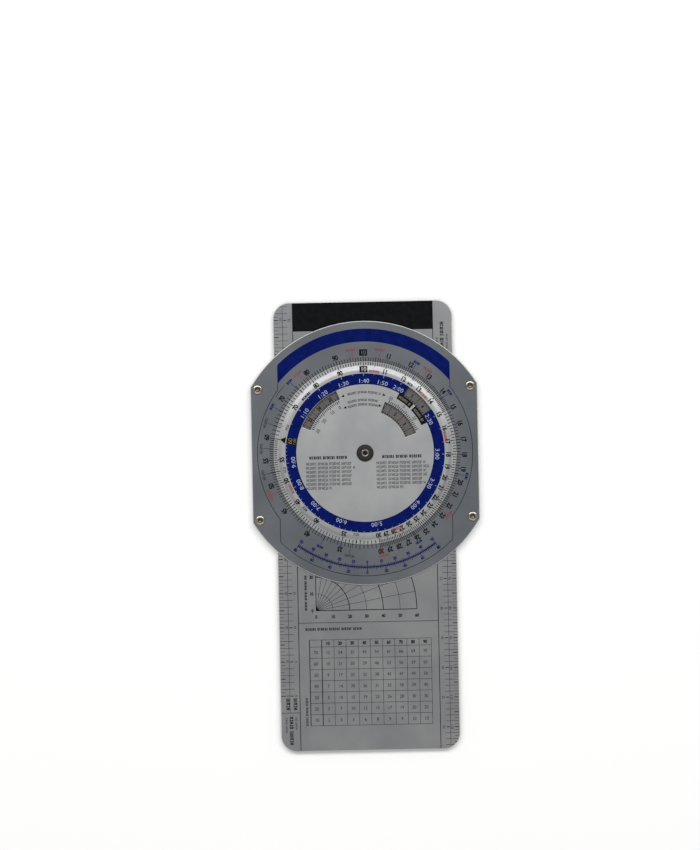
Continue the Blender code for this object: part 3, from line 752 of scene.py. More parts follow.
# Graph and tables between the chart scales, in the same black ink: a quarter circle that splits a wind into
# its parts along and across the runway, a table of crosswinds, and a table of distances flown.
GRAPH_ORIGIN = (-28.2 * MM, -45.5 * MM)
GRAPH_STEP = 9.1 * MM
GRAPH_RINGS = 6
GRAPH_ARC_STEP = math.radians(2.0)
GRAPH_NUMBERS_LEFT = 2.4 * MM
GRAPH_NUMBERS_BELOW = 3.4 * MM
GRAPH_ZERO_LEFT = 2.0 * MM
GRAPH_RULE = -52.1 * MM
TABLE_NUMBER_HEIGHT = 1.7 * MM
TABLE_ROW_HEADING_HEIGHT = 1.8 * MM
TABLE_HEAD = 3.8 * MM
WIND_TABLE_CORNER = (-32.2 * MM, -61.4 * MM)
WIND_TABLE_CELL = (6.6 * MM, 6.1 * MM)
TIME_TABLE_CORNER = (-33.0 * MM, 98.0 * MM)
TIME_TABLE_CELL = (7.3 * MM, 5.4 * MM)


def number_table(ink, corner, cell, rows, columns, value):
    """A ruled table: its first row and column hold the headings, and value works out each cell."""
    left, top = corner
    column, row = cell
    width = column * (len(columns) + 1)
    depth = row * len(rows) + TABLE_HEAD
    for i in range(len(columns) + 2):
        stroke(ink, at(left + i * column, top - depth / 2), BOLD_RULE if i < 2 else THIN_RULE, depth)
    for y in (top, *(top - TABLE_HEAD - j * row for j in range(len(rows) + 1))):
        stroke(ink, at(left + width / 2, y), width, THIN_RULE)
    middles = [left + (i + 1.5) * column for i in range(len(columns))]
    for x, heading in zip(middles, columns):
        lettering(ink, str(heading), TABLE_NUMBER_HEIGHT, at(x, top - TABLE_HEAD / 2))
    for j, head in enumerate(rows):
        y = top - TABLE_HEAD - (j + 0.5) * row
        lettering(ink, str(head), TABLE_ROW_HEADING_HEIGHT, at(left + column / 2, y), LIGHT_TYPE)
        for x, heading in zip(middles, columns):
            lettering(ink, str(value(head, heading)), TABLE_NUMBER_HEIGHT, at(x, y), LIGHT_TYPE)


graph_x, graph_y = GRAPH_ORIGIN
numbers_x = graph_x - GRAPH_NUMBERS_LEFT
numbers_y = graph_y - GRAPH_NUMBERS_BELOW
graph_numbers = [("0", graph_x - GRAPH_ZERO_LEFT, graph_y), ("0", graph_x, numbers_y)]
for ring in range(1, GRAPH_RINGS + 1):
    radius = ring * GRAPH_STEP
    half_rule = (BOLD_RULE if ring % 2 == 0 else THIN_RULE) / 2
    sides = (radius - half_rule, radius + half_rule)
    ribbon(slide_front, *(arc(r, 0.0, math.pi / 2, GRAPH_ORIGIN, GRAPH_ARC_STEP) for r in sides))
    graph_numbers.append((str(ring * 10), numbers_x, graph_y + radius))
    graph_numbers.append((str(ring * 10), graph_x + radius, numbers_y))
for number, x, y in graph_numbers:
    lettering(slide_front, number, TABLE_NUMBER_HEIGHT, at(x, y))
half_ray = GRAPH_RINGS * GRAPH_STEP / 2
for degrees in range(0, 91, 10):
    angle = math.radians(degrees)
    middle = (graph_x + math.sin(angle) * half_ray, graph_y + math.cos(angle) * half_ray)
    stroke(slide_front, at(*middle, -angle), BOLD_RULE if degrees % 90 == 0 else THIN_RULE, 2 * half_ray)
stroke(slide_front, at(0.0, GRAPH_RULE), 2 * head_half_width, MIDDLE_RULE)
number_table(
    slide_front,
    WIND_TABLE_CORNER,
    WIND_TABLE_CELL,
    range(70, 0, -10),
    range(10, 91, 10),
    lambda speed, degrees: round(speed * math.sin(math.radians(degrees))),
)
number_table(
    slide_front,
    TIME_TABLE_CORNER,
    TIME_TABLE_CELL,
    range(80, 230, 10),
    range(5, 45, 5),
    lambda speed, minutes: round(speed * minutes / 60),
)
for x, y, length, height, quarters, weight in SLIDE_LABELS:
    place = at(x * MM, y * MM, quarters * math.pi / 2)
    straight_text(slide_front, place, length * MM, height * MM, weight)
slide_face = facing_up(slide_high.z, centre=slide_centre)
printed("slide_front_print", slide_front, slide_face, black_ink, "slide")

# Wind grid on the slide's other side: arcs of speed about a point below the sheet, and rays of drift angle,
# screen printed in blue with the tens in black. It is read through the plotting disc.
KNOT = 0.95 * MM
GRID_ZERO = -150.25 * MM  # where zero speed lies along the slide
GRID_HALF_WIDTH = 44.0 * MM
GRID_FOOT = 33.0 * MM  # from zero speed to the grid's lower edge
GRID_SPEEDS = range(36, 281, 2)
GRID_RAYS = range(-44, 45, 2)  # degrees
GRID_ARC_STEP = math.radians(2.5)
GRID_LINE = 0.16 * MM
GRID_TENS_LINE = 0.288 * MM
GRID_NUMBER_HEIGHT = 1.4 * MM
GRID_NUMBER_OFFSET = (2.6 * MM, 1.0 * MM)
NARROWEST = 1e-6  # stands for the sine of the middle ray, which meets no side
BLUES = ("#05124e", "#08185c")

blue_ink = printing_ink("blue_screen_ink", BLUES)
grid_blue = bmesh.new()
grid_black = bmesh.new()
for speed in GRID_SPEEDS:
    radius = speed * KNOT
    tens = speed % 10 == 0
    half_line = (GRID_TENS_LINE if tens else GRID_LINE) / 2
    spread = min(math.asin(min(1.0, GRID_HALF_WIDTH / radius)), math.acos(GRID_FOOT / radius))
    ends = (math.pi / 2 + spread, math.pi / 2 - spread)
    sides = (radius - half_line, radius + half_line)
    arcs = [arc(r, *ends, (0.0, GRID_ZERO), GRID_ARC_STEP) for r in sides]
    ribbon(grid_black if tens else grid_blue, *arcs)
    if tens:
        x, y = GRID_NUMBER_OFFSET
        lettering(grid_black, str(speed), GRID_NUMBER_HEIGHT, at(x, GRID_ZERO + radius + y))
for degrees in GRID_RAYS:
    angle = math.radians(degrees)
    start = GRID_FOOT / math.cos(angle)
    end = min(GRID_SPEEDS[-1] * KNOT, GRID_HALF_WIDTH / max(abs(math.sin(angle)), NARROWEST))
    tens = degrees % 10 == 0
    middle = (math.sin(angle) * (start + end) / 2, GRID_ZERO + math.cos(angle) * (start + end) / 2)
    if end > start:
        width = GRID_TENS_LINE if tens else GRID_LINE
        stroke(grid_black if tens else grid_blue, at(*middle, -angle), width, end - start)
slide_back = facing_down(slide_low.z, centre=slide_centre)
slide_back_over = facing_down(slide_low.z, 1, slide_centre)
printed("slide_grid_blue_print", grid_blue, slide_back, blue_ink, "slide")
printed("slide_grid_black_print", grid_black, slide_back_over, black_ink, "slide")

# Front plate: the same blank as the back plate with only a small bore at the pivot, counterbored behind for
# the eyelet's tail. A warm grey ring is printed where the dial's windows pass over it.
EYELET_BORE_RADIUS = 1.75 * MM
EYELET_RECESS_RADIUS = 3.1 * MM
EYELET_RECESS_DEPTH = 0.4 * MM
RECESS_STEPS = 72
DRILL_START = 1.0 * MM  # below the plate
WINDOW_GREYS = ("#5e5c5b", "#656361")
WINDOW_GROUND = (22.9 * MM, 43.4 * MM)


def counterbored(sheet, radius, low, high):
    """A sheet with a round recess cut into it at the pivot, between two heights."""
    cutter = turned([(0.0, low), (radius, low), (radius, high), (0.0, high)], RECESS_STEPS, closed=False)
    drill = placed("drill", as_mesh("drill", cutter))
    holder = placed("drilled", as_mesh("drilled", sheet))
    holder.modifiers.new("counterbore", "BOOLEAN").object = drill
    drilled = settled(holder, WELD)
    bpy.data.objects.remove(drill)
    return drilled


front_low, front_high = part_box("front_plate")
front_outlines = [body_outline(), circle(EYELET_BORE_RADIUS, step=BORE_STEP), *rivet_holes()]
front_blank = blanked_sheet("front_plate", front_outlines)
recess = (front_low.z - DRILL_START, front_low.z + EYELET_RECESS_DEPTH)
front_sheet = counterbored(front_blank, EYELET_RECESS_RADIUS, *recess)
front_plate = sheet_piece("front_plate_sheet", front_sheet, satin_plate, bare_edge)
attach(front_plate, "body")
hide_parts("front_plate")

front_grey = bmesh.new()
ribbon(front_grey, *(circle(radius) for radius in WINDOW_GROUND), closed=True)
window_grey = printing_ink("warm_grey_screen_ink", WINDOW_GREYS)
front_face = facing_up(front_high.z)
printed("front_plate_window_ground", front_grey, front_face, window_grey, "body")

# Print on the front plate: the fixed outer scale with its marks in three colours, the scales that the dial's
# windows show, a blue band along the upper edge, a thin border line and a double blue scale at the foot.
SCALE_STEPS = ((100, 150, 1), (150, 300, 2), (300, 600, 5), (600, 1000, 10))  # from, to and step, in tenths
SCALE_NUMBERS = (*range(11, 31), 35, 40, 45, 50, 55, 60, 70, 80, 90)
OUTER_TICK_INNER = 49.5 * MM
OUTER_TICK_WIDTH = 0.36 * MM
OUTER_TICK_REACH = (2.3 * MM, 2.8 * MM, 3.3 * MM)  # of an ordinary tick, a fifth one and a numbered one
OUTER_NUMBER_RADIUS = 53.95 * MM
OUTER_NUMBER_HEIGHT = 2.5 * MM
OUTER_INDEX_RADIUS = 54.45 * MM
OUTER_INDEX_HEIGHT = 2.2 * MM
INDEX_BOX = (4.3 * MM, 3.5 * MM)
UNIT_MARK_RADIUS = 56.35 * MM
UNIT_MARK_HEIGHT = 1.4 * MM
UNIT_LINE_OUTER = 55.2 * MM
LONG_MARK = 5.6 * MM
MIDDLE_MARK = 3.6 * MM
SHORT_MARK = 2.5 * MM
FINE_PRINT = 0.15  # stroke width, as a share of the height
STRONG_PRINT = 0.24
HEAVY_PRINT = 0.3
OUTER_RED_MARKS = (-113.0, -39.0, -6.4, 9.6, 38.4, 128.0, 171.0)  # bearings in degrees
OUTER_BLUE_MARKS = (-62.4, -45.6, 31.0, 55.6, 104.0, 150.0, 207.0)
OUTER_BLACK_MARKS = (-101.0, -86.4, -72.0, 190.0)
REMINDER_ARC = (56.95 * MM, 57.2 * MM, math.radians(-57.0), math.radians(-49.0))
WINDOW_RINGS = ((32.4, 36.8, 28), (37.5, 42.6, 31), (23.7, 29.4, 23))  # inner and outer in mm, and cells
WINDOW_NUMBER_HEIGHT = 1.8 * MM
WINDOW_CELL_TICKS = 5
WINDOW_OUTER_TICK = (-1.3, 0.0)  # from the ring's outer edge, in mm
WINDOW_INNER_TICK = (-0.3, 0.9)  # from its inner edge
WINDOW_INNER_TICK_WIDTH = 0.4 * MM
BANNER_INNER = 60.4 * MM
BANNER_OUTER = 67.4 * MM
BANNER_HALF_WIDTH = 46.7 * MM
BANNER_CORNER = 2.6 * MM
BORDER_RADIUS = 58.3 * MM
BORDER_FOOT_RADIUS = 66.6 * MM
BORDER_LINE = 0.28 * MM
FOOT_SCALE_RADIUS = 61.9 * MM
FOOT_SCALE_REACH = math.radians(37.2)  # each way from the bottom
FOOT_SCALE_HALF_LINE = 0.25 * MM
FOOT_TICK_WIDTH = 0.36 * MM
FOOT_TICK_REACH = (0.9 * MM, 1.3 * MM, 1.7 * MM)
FOOT_NUMBER_OFFSET = 2.8 * MM
FOOT_NUMBER_HEIGHT = 1.6 * MM
FOOT_SIDES = ((-1, 7.35, 10), (1, 9.2, 20))  # inside or outside, degrees between numbers, and their step


def scale_bearing(number):
    """Where a number from 10 to 100 lies on the logarithmic scale, clockwise from the top."""
    return 2 * math.pi * math.log10(number / 10)


def log_scale(ink, tick_base, tick_width, reaches, number_radius, number_height, left_out=()):
    """A logarithmic scale: ticks that stand on a radius, outwards or inwards by their reach, and numbers."""
    for start, stop, step in SCALE_STEPS:
        for tenths in range(start, stop, step):
            number = tenths / 10
            reach = reaches[2 if number in SCALE_NUMBERS else 1 if tenths % (5 * step) == 0 else 0]
            tick(ink, scale_bearing(number), tick_base, tick_base + reach, tick_width)
    for number in SCALE_NUMBERS:
        if number not in left_out:
            lettering(ink, str(number), number_height, on_dial(number_radius, scale_bearing(number)))


def curved_text(ink, radius, start, end, height, weight):
    """Made-up small print that follows the dial between two bearings."""
    mock_text(ink, (end - start) * radius, height, lambda run: on_dial(radius, start + run / radius), weight)


def unit_marks(ink, bearings, length, weight, radius, line_inner, line_outer):
    """Small marks beside a scale, each with a hairline to the value that it stands for."""
    half = length / 2 / radius
    for bearing in map(math.radians, bearings):
        curved_text(ink, radius, bearing - half, bearing + half, UNIT_MARK_HEIGHT, weight)
        tick(ink, bearing, line_inner, line_outer)


front_over = facing_up(front_high.z, 1)
front_top = facing_up(front_high.z, 2)
outer_marks = (UNIT_MARK_RADIUS, OUTER_TICK_INNER, UNIT_LINE_OUTER)
front_black = bmesh.new()
outer_numbers = (OUTER_NUMBER_RADIUS, OUTER_NUMBER_HEIGHT)
log_scale(front_black, OUTER_TICK_INNER, OUTER_TICK_WIDTH, OUTER_TICK_REACH, *outer_numbers)
stroke(front_black, on_dial(OUTER_INDEX_RADIUS, 0.0), *INDEX_BOX)
unit_marks(front_black, OUTER_BLACK_MARKS, LONG_MARK, FINE_PRINT, *outer_marks)
band(front_black, *REMINDER_ARC)
border_turn = math.asin(BANNER_HALF_WIDTH / BORDER_RADIUS)
border_half = BORDER_LINE / 2
shoulder = math.sqrt(BANNER_INNER**2 - BANNER_HALF_WIDTH**2)
neck = math.sqrt(BORDER_RADIUS**2 - BANNER_HALF_WIDTH**2)
foot_lines = [
    upper_right(BORDER_FOOT_RADIUS + grow, BANNER_HALF_WIDTH + grow, BANNER_CORNER + grow)
    for grow in (-border_half, border_half)
]
heel = foot_lines[0][0][1]
for side in (-1, 1):
    bearings = (side * border_turn, side * (math.pi - border_turn))
    band(front_black, BORDER_RADIUS - border_half, BORDER_RADIUS + border_half, *bearings)
    ribbon(front_black, *([(side * x, -y) for x, y in line] for line in foot_lines))
    for upper, lower in ((shoulder, neck), (-neck, -heel)):
        place = at(side * BANNER_HALF_WIDTH, (upper + lower) / 2)
        stroke(front_black, place, BORDER_LINE, upper - lower)
for inner, outer, cells in WINDOW_RINGS:
    cell = 2 * math.pi / cells
    for i in range(cells):
        tick(front_black, i * cell, inner * MM, outer * MM, NARROW_TICK)
        place = on_dial((inner + outer) / 2 * MM, (i + 0.5) * cell)
        lettering(front_black, str(i), WINDOW_NUMBER_HEIGHT, place)
    for i in range(cells * WINDOW_CELL_TICKS):
        bearing = i * cell / WINDOW_CELL_TICKS
        tick(front_black, bearing, *((outer + end) * MM for end in WINDOW_OUTER_TICK))
        ends = [(inner + end) * MM for end in WINDOW_INNER_TICK]
        tick(front_black, bearing, *ends, WINDOW_INNER_TICK_WIDTH)
printed("front_plate_black_print", front_black, front_over, black_ink, "body")

front_red = bmesh.new()
unit_marks(front_red, OUTER_RED_MARKS, LONG_MARK, FINE_PRINT, *outer_marks)
printed("front_plate_red_print", front_red, front_top, red_ink, "body")

front_blue = bmesh.new()
unit_marks(front_blue, OUTER_BLUE_MARKS, MIDDLE_MARK, HEAVY_PRINT, *outer_marks)
banner_outer = both_sides(upper_right(BANNER_OUTER, BANNER_HALF_WIDTH, BANNER_CORNER))
banner_turn = math.acos(BANNER_HALF_WIDTH / BANNER_INNER)
banner_step = (math.pi - 2 * banner_turn) / (len(banner_outer) - 1)
banner_inner = arc(BANNER_INNER, banner_turn, math.pi - banner_turn, step=banner_step)
ribbon(front_blue, banner_inner, banner_outer)
foot_line = (FOOT_SCALE_RADIUS - FOOT_SCALE_HALF_LINE, FOOT_SCALE_RADIUS + FOOT_SCALE_HALF_LINE)
band(front_blue, *foot_line, math.pi - FOOT_SCALE_REACH, math.pi + FOOT_SCALE_REACH)
turned_up = Matrix.Rotation(math.pi, 4, "Z")
for way, degrees_apart, number_step in FOOT_SIDES:
    spacing = math.radians(degrees_apart / 10)
    last = int(FOOT_SCALE_REACH / spacing)
    for i in range(-last, last + 1):
        bearing = math.pi + i * spacing
        tip = FOOT_SCALE_RADIUS + way * tick_reach(i, FOOT_TICK_REACH)
        tick(front_blue, bearing, FOOT_SCALE_RADIUS, tip, FOOT_TICK_WIDTH)
        if i % 10 == 0:
            place = on_dial(FOOT_SCALE_RADIUS + way * FOOT_NUMBER_OFFSET, bearing) @ turned_up
            lettering(front_blue, str(abs(i) // 10 * number_step), FOOT_NUMBER_HEIGHT, place)
printed("front_plate_blue_print", front_blue, front_over, blue_ink, "body")

front_bare = bmesh.new()
lettering(front_bare, "10", OUTER_INDEX_HEIGHT, on_dial(OUTER_INDEX_RADIUS, 0.0), LIGHT_TYPE)
printed("front_plate_bare_digits", front_bare, front_top, satin_plate, "body")

# Corner rivets: semi-tubular brass rivets, nickel plated, pushed through the whole body from behind and
# rolled over in front. The roll shines like a small ring, and the hollow inside it is painted brown: tarnish,
# darkened further as painted shade for the hollow.
ROLL_RADIUS = 2.65 * MM
ROLL_HEIGHT = 0.65 * MM
ROLL_DROP = 0.85  # how far the roll's outer half comes down, as a share of its height
ROLL_TUCK = 0.15 * MM
CREST_RADIUS = 1.6 * MM
HOLLOW_SHADE_RADIUS = 1.42 * MM
HOLLOW_RADIUS = 0.95 * MM
HOLLOW_DEPTH = 0.9 * MM
HOLLOW_FLOOR = ((0.0, 0.24 * MM), (0.6 * MM, 0.16 * MM), (HOLLOW_RADIUS, 0.0))  # radius, and depth below it
SHANK_RADIUS = 1.45 * MM
HEAD_RADIUS = 2.6 * MM
HEAD_THICKNESS = 0.5 * MM
ROLL_STEPS = 8
HEAD_STEPS = 5
# The hollows' brown is tarnish, made darker still as painted shade for the inside of the hollow.
TARNISH_AND_SHADE_BROWNS = ("#50483a", "#6c624e")


def quarter_turn(steps):
    """The angles of a quarter turn, both ends included, as sines and cosines."""
    angles = [math.pi / 2 * i / steps for i in range(steps + 1)]
    return [(math.sin(a), math.cos(a)) for a in angles]


tarnish_and_shade_brass = nickel_plate("tarnished_brass_painted_shade", TARNISH_AND_SHADE_BROWNS)
for rivet, spot in rivet_spots.items():
    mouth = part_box(rivet)[1].z
    flare_width = CREST_RADIUS - HOLLOW_RADIUS
    roll_width = ROLL_RADIUS - CREST_RADIUS
    roll_drop = ROLL_HEIGHT * ROLL_DROP
    profile = [(radius, mouth - HOLLOW_DEPTH - depth) for radius, depth in HOLLOW_FLOOR]
    for sine, cosine in quarter_turn(ROLL_STEPS):
        profile.append((CREST_RADIUS - flare_width * cosine, mouth - ROLL_HEIGHT * (1 - sine)))
    for sine, cosine in quarter_turn(ROLL_STEPS)[1:]:
        profile.append((CREST_RADIUS + roll_width * sine, mouth - roll_drop * (1 - cosine)))
    profile.append((ROLL_RADIUS - ROLL_TUCK, mouth - ROLL_HEIGHT))
    profile.append((SHANK_RADIUS, mouth - ROLL_HEIGHT))
    profile.append((SHANK_RADIUS, HEAD_THICKNESS))
    for sine, cosine in quarter_turn(HEAD_STEPS):
        profile.append((HEAD_RADIUS - HEAD_THICKNESS * (1 - cosine), HEAD_THICKNESS * (1 - sine)))
    profile.append((0.0, 0.0))
    centre = pivot + spot
    shape = turned(profile, SMALL_TURN_STEPS, centre, closed=False)
    # Inside this radius the rivet takes the brown of tarnish and painted shade.
    hollow_tarnish_and_shade = (HOLLOW_SHADE_RADIUS, mouth - 2 * HOLLOW_DEPTH)
    rolled = turned_piece(f"{rivet}_rolled", shape, nickel, tarnish_and_shade_brass, hollow_tarnish_and_shade, centre)
    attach(rolled, "body")
    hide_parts(rivet)

# Bearing washer: a natural nylon washer on the front plate, under the spring washer, that the dial turns on.
# It is hidden by the dial, so the frame's own solid stays.
NYLON_CREAMS = ("#d9d7cb", "#e4e2d8")
FLOW_SIZE = 1.5 * MM

# Moulded natural nylon. The eye sees a creamy white with a waxy surface.
natural_nylon = new_finish("natural_nylon", NYLON_CREAMS, (FLOW_SIZE, 3.0), {"Roughness": 0.45})
refinished("bearing_washer", natural_nylon)

# Calculator dial: an aluminium disc with three windows, whose rim is pressed down in a step so that its edge
# lies beside the fixed scale. It is anodised silver and turns on the pivot.
DISC_RADIUS = 49.6 * MM
DISC_INNER_RING = 12.0 * MM  # between the bore and the windows, so that no face is too long
SLOPE_INNER = 44.3 * MM
SLOPE_OUTER = 47.6 * MM
SLOPE_STEPS = 14
SLOPE_LEAN = 1.2  # above 1, the slope bends off gently at its top and more sharply at its foot
SLOPED_FACE = 0.95  # the rim slopes, so its broad side is told from its edge less strictly
DIAL_EDGE_BREAK = 0.272 * MM
DIAL_EDGE_ANGLE = math.radians(50.0)
DIAL_STEP = 1.5  # degrees
DIAL_STEP_NEAREST = 0.4  # to a window's corner
ALTITUDE_WINDOW = (32.1 * MM, 37.0 * MM, -66.4, -24.0)  # inner and outer radius, and bearings in degrees
DENSITY_WINDOW = (37.25 * MM, 42.85 * MM, 34.4, 57.6)
AIRSPEED_WINDOW = (23.45 * MM, 29.6 * MM, 22.4, 69.6)
WINDOWS = (ALTITUDE_WINDOW, DENSITY_WINDOW, AIRSPEED_WINDOW)

disc_low, disc_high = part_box("calculator_disc")
disc_thickness = front_high.z - front_low.z
rim_drop = disc_high.z - disc_low.z - disc_thickness


def dial_height(radius):
    """How far the dial's upper face lies above its flat middle, which is less than nothing on the rim."""
    along = min(1.0, max(0.0, (radius - SLOPE_INNER) / (SLOPE_OUTER - SLOPE_INNER))) ** SLOPE_LEAN
    return -rim_drop * along**2 * (3 - 2 * along)


def dial_blank():
    """The dial as a sheet of its thickness with broken edges: a round net of faces, open at the windows."""
    slope = [SLOPE_INNER + (SLOPE_OUTER - SLOPE_INNER) * i / SLOPE_STEPS for i in range(SLOPE_STEPS + 1)]
    edges = [radius for window in WINDOWS for radius in window[:2]]
    radii = sorted({EYELET_BORE_RADIUS, DISC_INNER_RING, *edges, *slope, DISC_RADIUS})
    corners = {angle for window in WINDOWS for angle in window[2:]}
    even = {i * DIAL_STEP - 180.0 for i in range(round(360.0 / DIAL_STEP))}
    bearings = sorted(corners | {b for b in even if all(abs(b - c) > DIAL_STEP_NEAREST for c in corners)})
    face = bmesh.new()
    net = []
    for radius in radii:
        spots = [on_dial(radius, math.radians(b)).translation for b in bearings]
        net.append([face.verts.new((x, y, dial_height(radius))) for x, y, _ in spots])
    for i, j in ((i, j) for i in range(len(radii) - 1) for j in range(len(bearings))):
        following = (j + 1) % len(bearings)
        radius = (radii[i] + radii[i + 1]) / 2
        bearing = bearings[j] + DIAL_STEP / 4
        if not any(a < radius < b and c < bearing < d for a, b, c, d in WINDOWS):
            face.faces.new((net[i][j], net[i][following], net[i + 1][following], net[i + 1][j]))
    holder = placed("dial", as_mesh("dial", face))
    holder.location = (pivot.x, pivot.y, disc_high.z)
    thick = holder.modifiers.new("thickness", "SOLIDIFY")
    thick.thickness = disc_thickness
    thick.offset = -1.0
    broken = holder.modifiers.new("broken edges", "BEVEL")
    broken.width = DIAL_EDGE_BREAK
    broken.segments = 2
    broken.limit_method = "ANGLE"
    broken.angle_limit = DIAL_EDGE_ANGLE
    return settled(holder, WELD)


dial = sheet_piece("dial_disc", dial_blank(), silver_disc, bare_edge, SLOPED_FACE)
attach(dial, "calculator")
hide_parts("calculator_disc")

# Print on the dial: the turning scale on its sloping rim, the blue hour ring with white numbers, small scales
# and black label boxes beside the windows, and two blocks of small print. Every ink is screen printed.
DRAPE_STEP = 0.5 * MM
DRAPE_CUTS = 3
HOUR_RING_INNER = 37.25 * MM
HOUR_RING_OUTER = 43.1 * MM
HOUR_TICK_OUTER = 43.0 * MM
HOUR_TICK_REACH = 1.3 * MM
MINUTE_TICK_REACH = 0.7 * MM
MINUTE_TICK_WIDTH = 0.16 * MM
HOUR_NUMBER_RADIUS = 39.1 * MM
HOUR_NUMBER_HEIGHT = 2.2 * MM
HOUR_NUMBERS = (70, 80, 90, 100, 110, 120, 150, 180, 210, 240, 300, 360, 420, 480, 540)  # minutes
MINUTE_TICKS = (*range(65, 120, 10), *range(120, 180, 10), *range(190, 600, 10))
INNER_TICK_OUTER = 49.32 * MM
INNER_TICK_WIDTH = 0.42 * MM
INNER_TICK_REACH = (-1.7 * MM, -2.1 * MM, -2.6 * MM)
INNER_NUMBER_RADIUS = 45.15 * MM
INNER_NUMBER_HEIGHT = 2.4 * MM
INNER_INDEX_RADIUS = 45.35 * MM
INNER_MARK_RADIUS = 44.4 * MM
INNER_LINE_INNER = 46.62 * MM
INNER_RED_MARKS = (-114.6, 7.6, 46.6, 79.4, 158.0)
INNER_BLUE_MARKS = (-132.0, 34.0, 124.0)
INNER_BLUE_LABEL = -44.7
INNER_LABEL_LENGTH = 6.2 * MM
INNER_BLACK_MARKS = (-101.0, -71.0, 187.0)
SPEED_INDEX = 60
SPEED_BOX_HALF_ANGLE = math.radians(2.9)
SPEED_ARROW_INNER = 43.6 * MM
SPEED_ARROW_SIZE = (3.7 * MM, 3.0 * MM)
SPEED_DIGITS = (("60", 2.4 * MM, 41.2 * MM), ("1:00", 1.5 * MM, 38.7 * MM))  # text, height and radius
# Scales beside two windows: numbers with their bearings, their height and radius in mm, and the ticks'
# bearings (first, step and count), base and two reaches (ordinary and fifth) in mm
WINDOW_SCALES = (
    (((-64.1, 30), (-51.0, 20), (-38.1, 10), (-28.0, 0)), 1.9, 28.1, (-64.4, 1.82, 22), 31.8, (-1.4, -1.9)),
    (((26.4, 50), (41.0, 0), (56.0, 50)), 1.7, 32.7, (26.4, 2.0, 21), 29.8, (1.4, 1.9)),
)
WINDOW_SCALE_TICK_WIDTH = 0.4 * MM
LABEL_BOX = (34.0 * MM, 37.25 * MM)
LABEL_BOX_BEARINGS = ((30.9, 46.0), (48.0, 64.9))
LABEL_TEXT = (35.62 * MM, 1.4 * MM, 0.2)  # radius, height and weight
LABEL_MARGINS = (1.4, -2.3)  # degrees
CURVED_LINES = ((33.0, -15.6, 14.4), (28.8, -17.8, 14.5), (26.4, -19.2, 15.6))  # radius in mm, and bearings
CURVED_LINE_TYPE = (1.25 * MM, 0.19)  # height and weight
ARROWHEADS = ((33.0, -20.5, 19.5), (26.8, -22.9, 18.9))  # one points anticlockwise, and one clockwise
ARROWHEAD_SIZE = (1.5 * MM, 1.7 * MM)
TEXT_BLOCKS = ((-32.0, -6.1, -30.2, -9.8), (6.1, 33.7, 9.2, 30.1))  # a block's sides and its title's, in mm
TITLE_TYPE = (1.6 * MM, 0.27)
TITLE_HEIGHT = -2.15  # below the pivot, in mm
TEXT_TYPE = (1.4 * MM, 0.16)
TEXT_FIRST_ROW = -5.45
TEXT_ROW = 2.2
TEXT_ROW_SHARES = (0.96, 1.0, 0.93, 0.97, 0.92, 0.95, 0.5)  # how much of its width each row fills
WHITES = ("#97a1bf", "#aab2cc")
OLIVES = ("#6f6d58", "#7c7a64")


def draped(ink):
    """Lays ink that was drawn flat over the dial's stepped rim, cut finely enough to follow its bends."""
    for _ in range(DRAPE_CUTS):
        outside = [edge for edge in ink.edges if max(vert.co.xy.length for vert in edge.verts) > SLOPE_INNER]
        long_edges = [edge for edge in outside if edge.calc_length() > DRAPE_STEP]
        bmesh.ops.subdivide_edges(ink, edges=long_edges, cuts=1, use_grid_fill=True)
    for vert in ink.verts:
        vert.co.z += dial_height(vert.co.xy.length)
    return ink


def hour_bearing(minutes):
    """Where a time lies on the dial, under its number of minutes on the scale."""
    return scale_bearing(minutes / 10 if minutes >= 100 else minutes)


dial_face, dial_over, dial_top = (facing_up(disc_high.z, layer) for layer in range(3))
inner_marks = (INNER_MARK_RADIUS, INNER_LINE_INNER, INNER_TICK_OUTER)
speed_bearing = scale_bearing(SPEED_INDEX)
window_start, window_end = map(math.radians, DENSITY_WINDOW[2:])
dial_blue = bmesh.new()
band(dial_blue, HOUR_RING_INNER, HOUR_RING_OUTER, window_end, window_start + 2 * math.pi)
unit_marks(dial_blue, INNER_BLUE_MARKS, SHORT_MARK, STRONG_PRINT, *inner_marks)
unit_marks(dial_blue, (INNER_BLUE_LABEL,), INNER_LABEL_LENGTH, HEAVY_PRINT, *inner_marks)
printed("dial_blue_print", draped(dial_blue), dial_face, blue_ink, "calculator")

dial_black = bmesh.new()
dial_olive = bmesh.new()
inner_numbers = (INNER_NUMBER_RADIUS, INNER_NUMBER_HEIGHT, (SPEED_INDEX,))
log_scale(dial_black, INNER_TICK_OUTER, INNER_TICK_WIDTH, INNER_TICK_REACH, *inner_numbers)
stroke(dial_black, on_dial(INNER_INDEX_RADIUS, 0.0), *INDEX_BOX)
unit_marks(dial_black, INNER_BLACK_MARKS, SHORT_MARK, FINE_PRINT, *inner_marks)
triangle(dial_black, on_dial(SPEED_ARROW_INNER, speed_bearing), *SPEED_ARROW_SIZE)
speed_box = (speed_bearing - SPEED_BOX_HALF_ANGLE, speed_bearing + SPEED_BOX_HALF_ANGLE)
band(dial_black, HOUR_RING_INNER, HOUR_RING_OUTER, *speed_box)
for text, height, radius in SPEED_DIGITS:
    lettering(dial_olive, text, height, on_dial(radius, speed_bearing), LIGHT_TYPE)
for numbers, height, radius, (first, step, count), base, reaches in WINDOW_SCALES:
    for degrees, number in numbers:
        place = on_dial(radius * MM, math.radians(degrees))
        lettering(dial_black, str(number), height * MM, place, LIGHT_TYPE)
    for i in range(count):
        tip = base + reaches[i % 5 == 0]
        bearing = math.radians(first + i * step)
        tick(dial_black, bearing, base * MM, tip * MM, WINDOW_SCALE_TICK_WIDTH)
label_radius, *label_type = LABEL_TEXT
for ends in LABEL_BOX_BEARINGS:
    band(dial_black, *LABEL_BOX, *map(math.radians, ends))
    text_ends = [math.radians(end + margin) for end, margin in zip(ends, LABEL_MARGINS)]
    curved_text(dial_olive, label_radius, *text_ends, *label_type)
for radius, start, end in CURVED_LINES:
    curved_text(dial_black, radius * MM, math.radians(start), math.radians(end), *CURVED_LINE_TYPE)
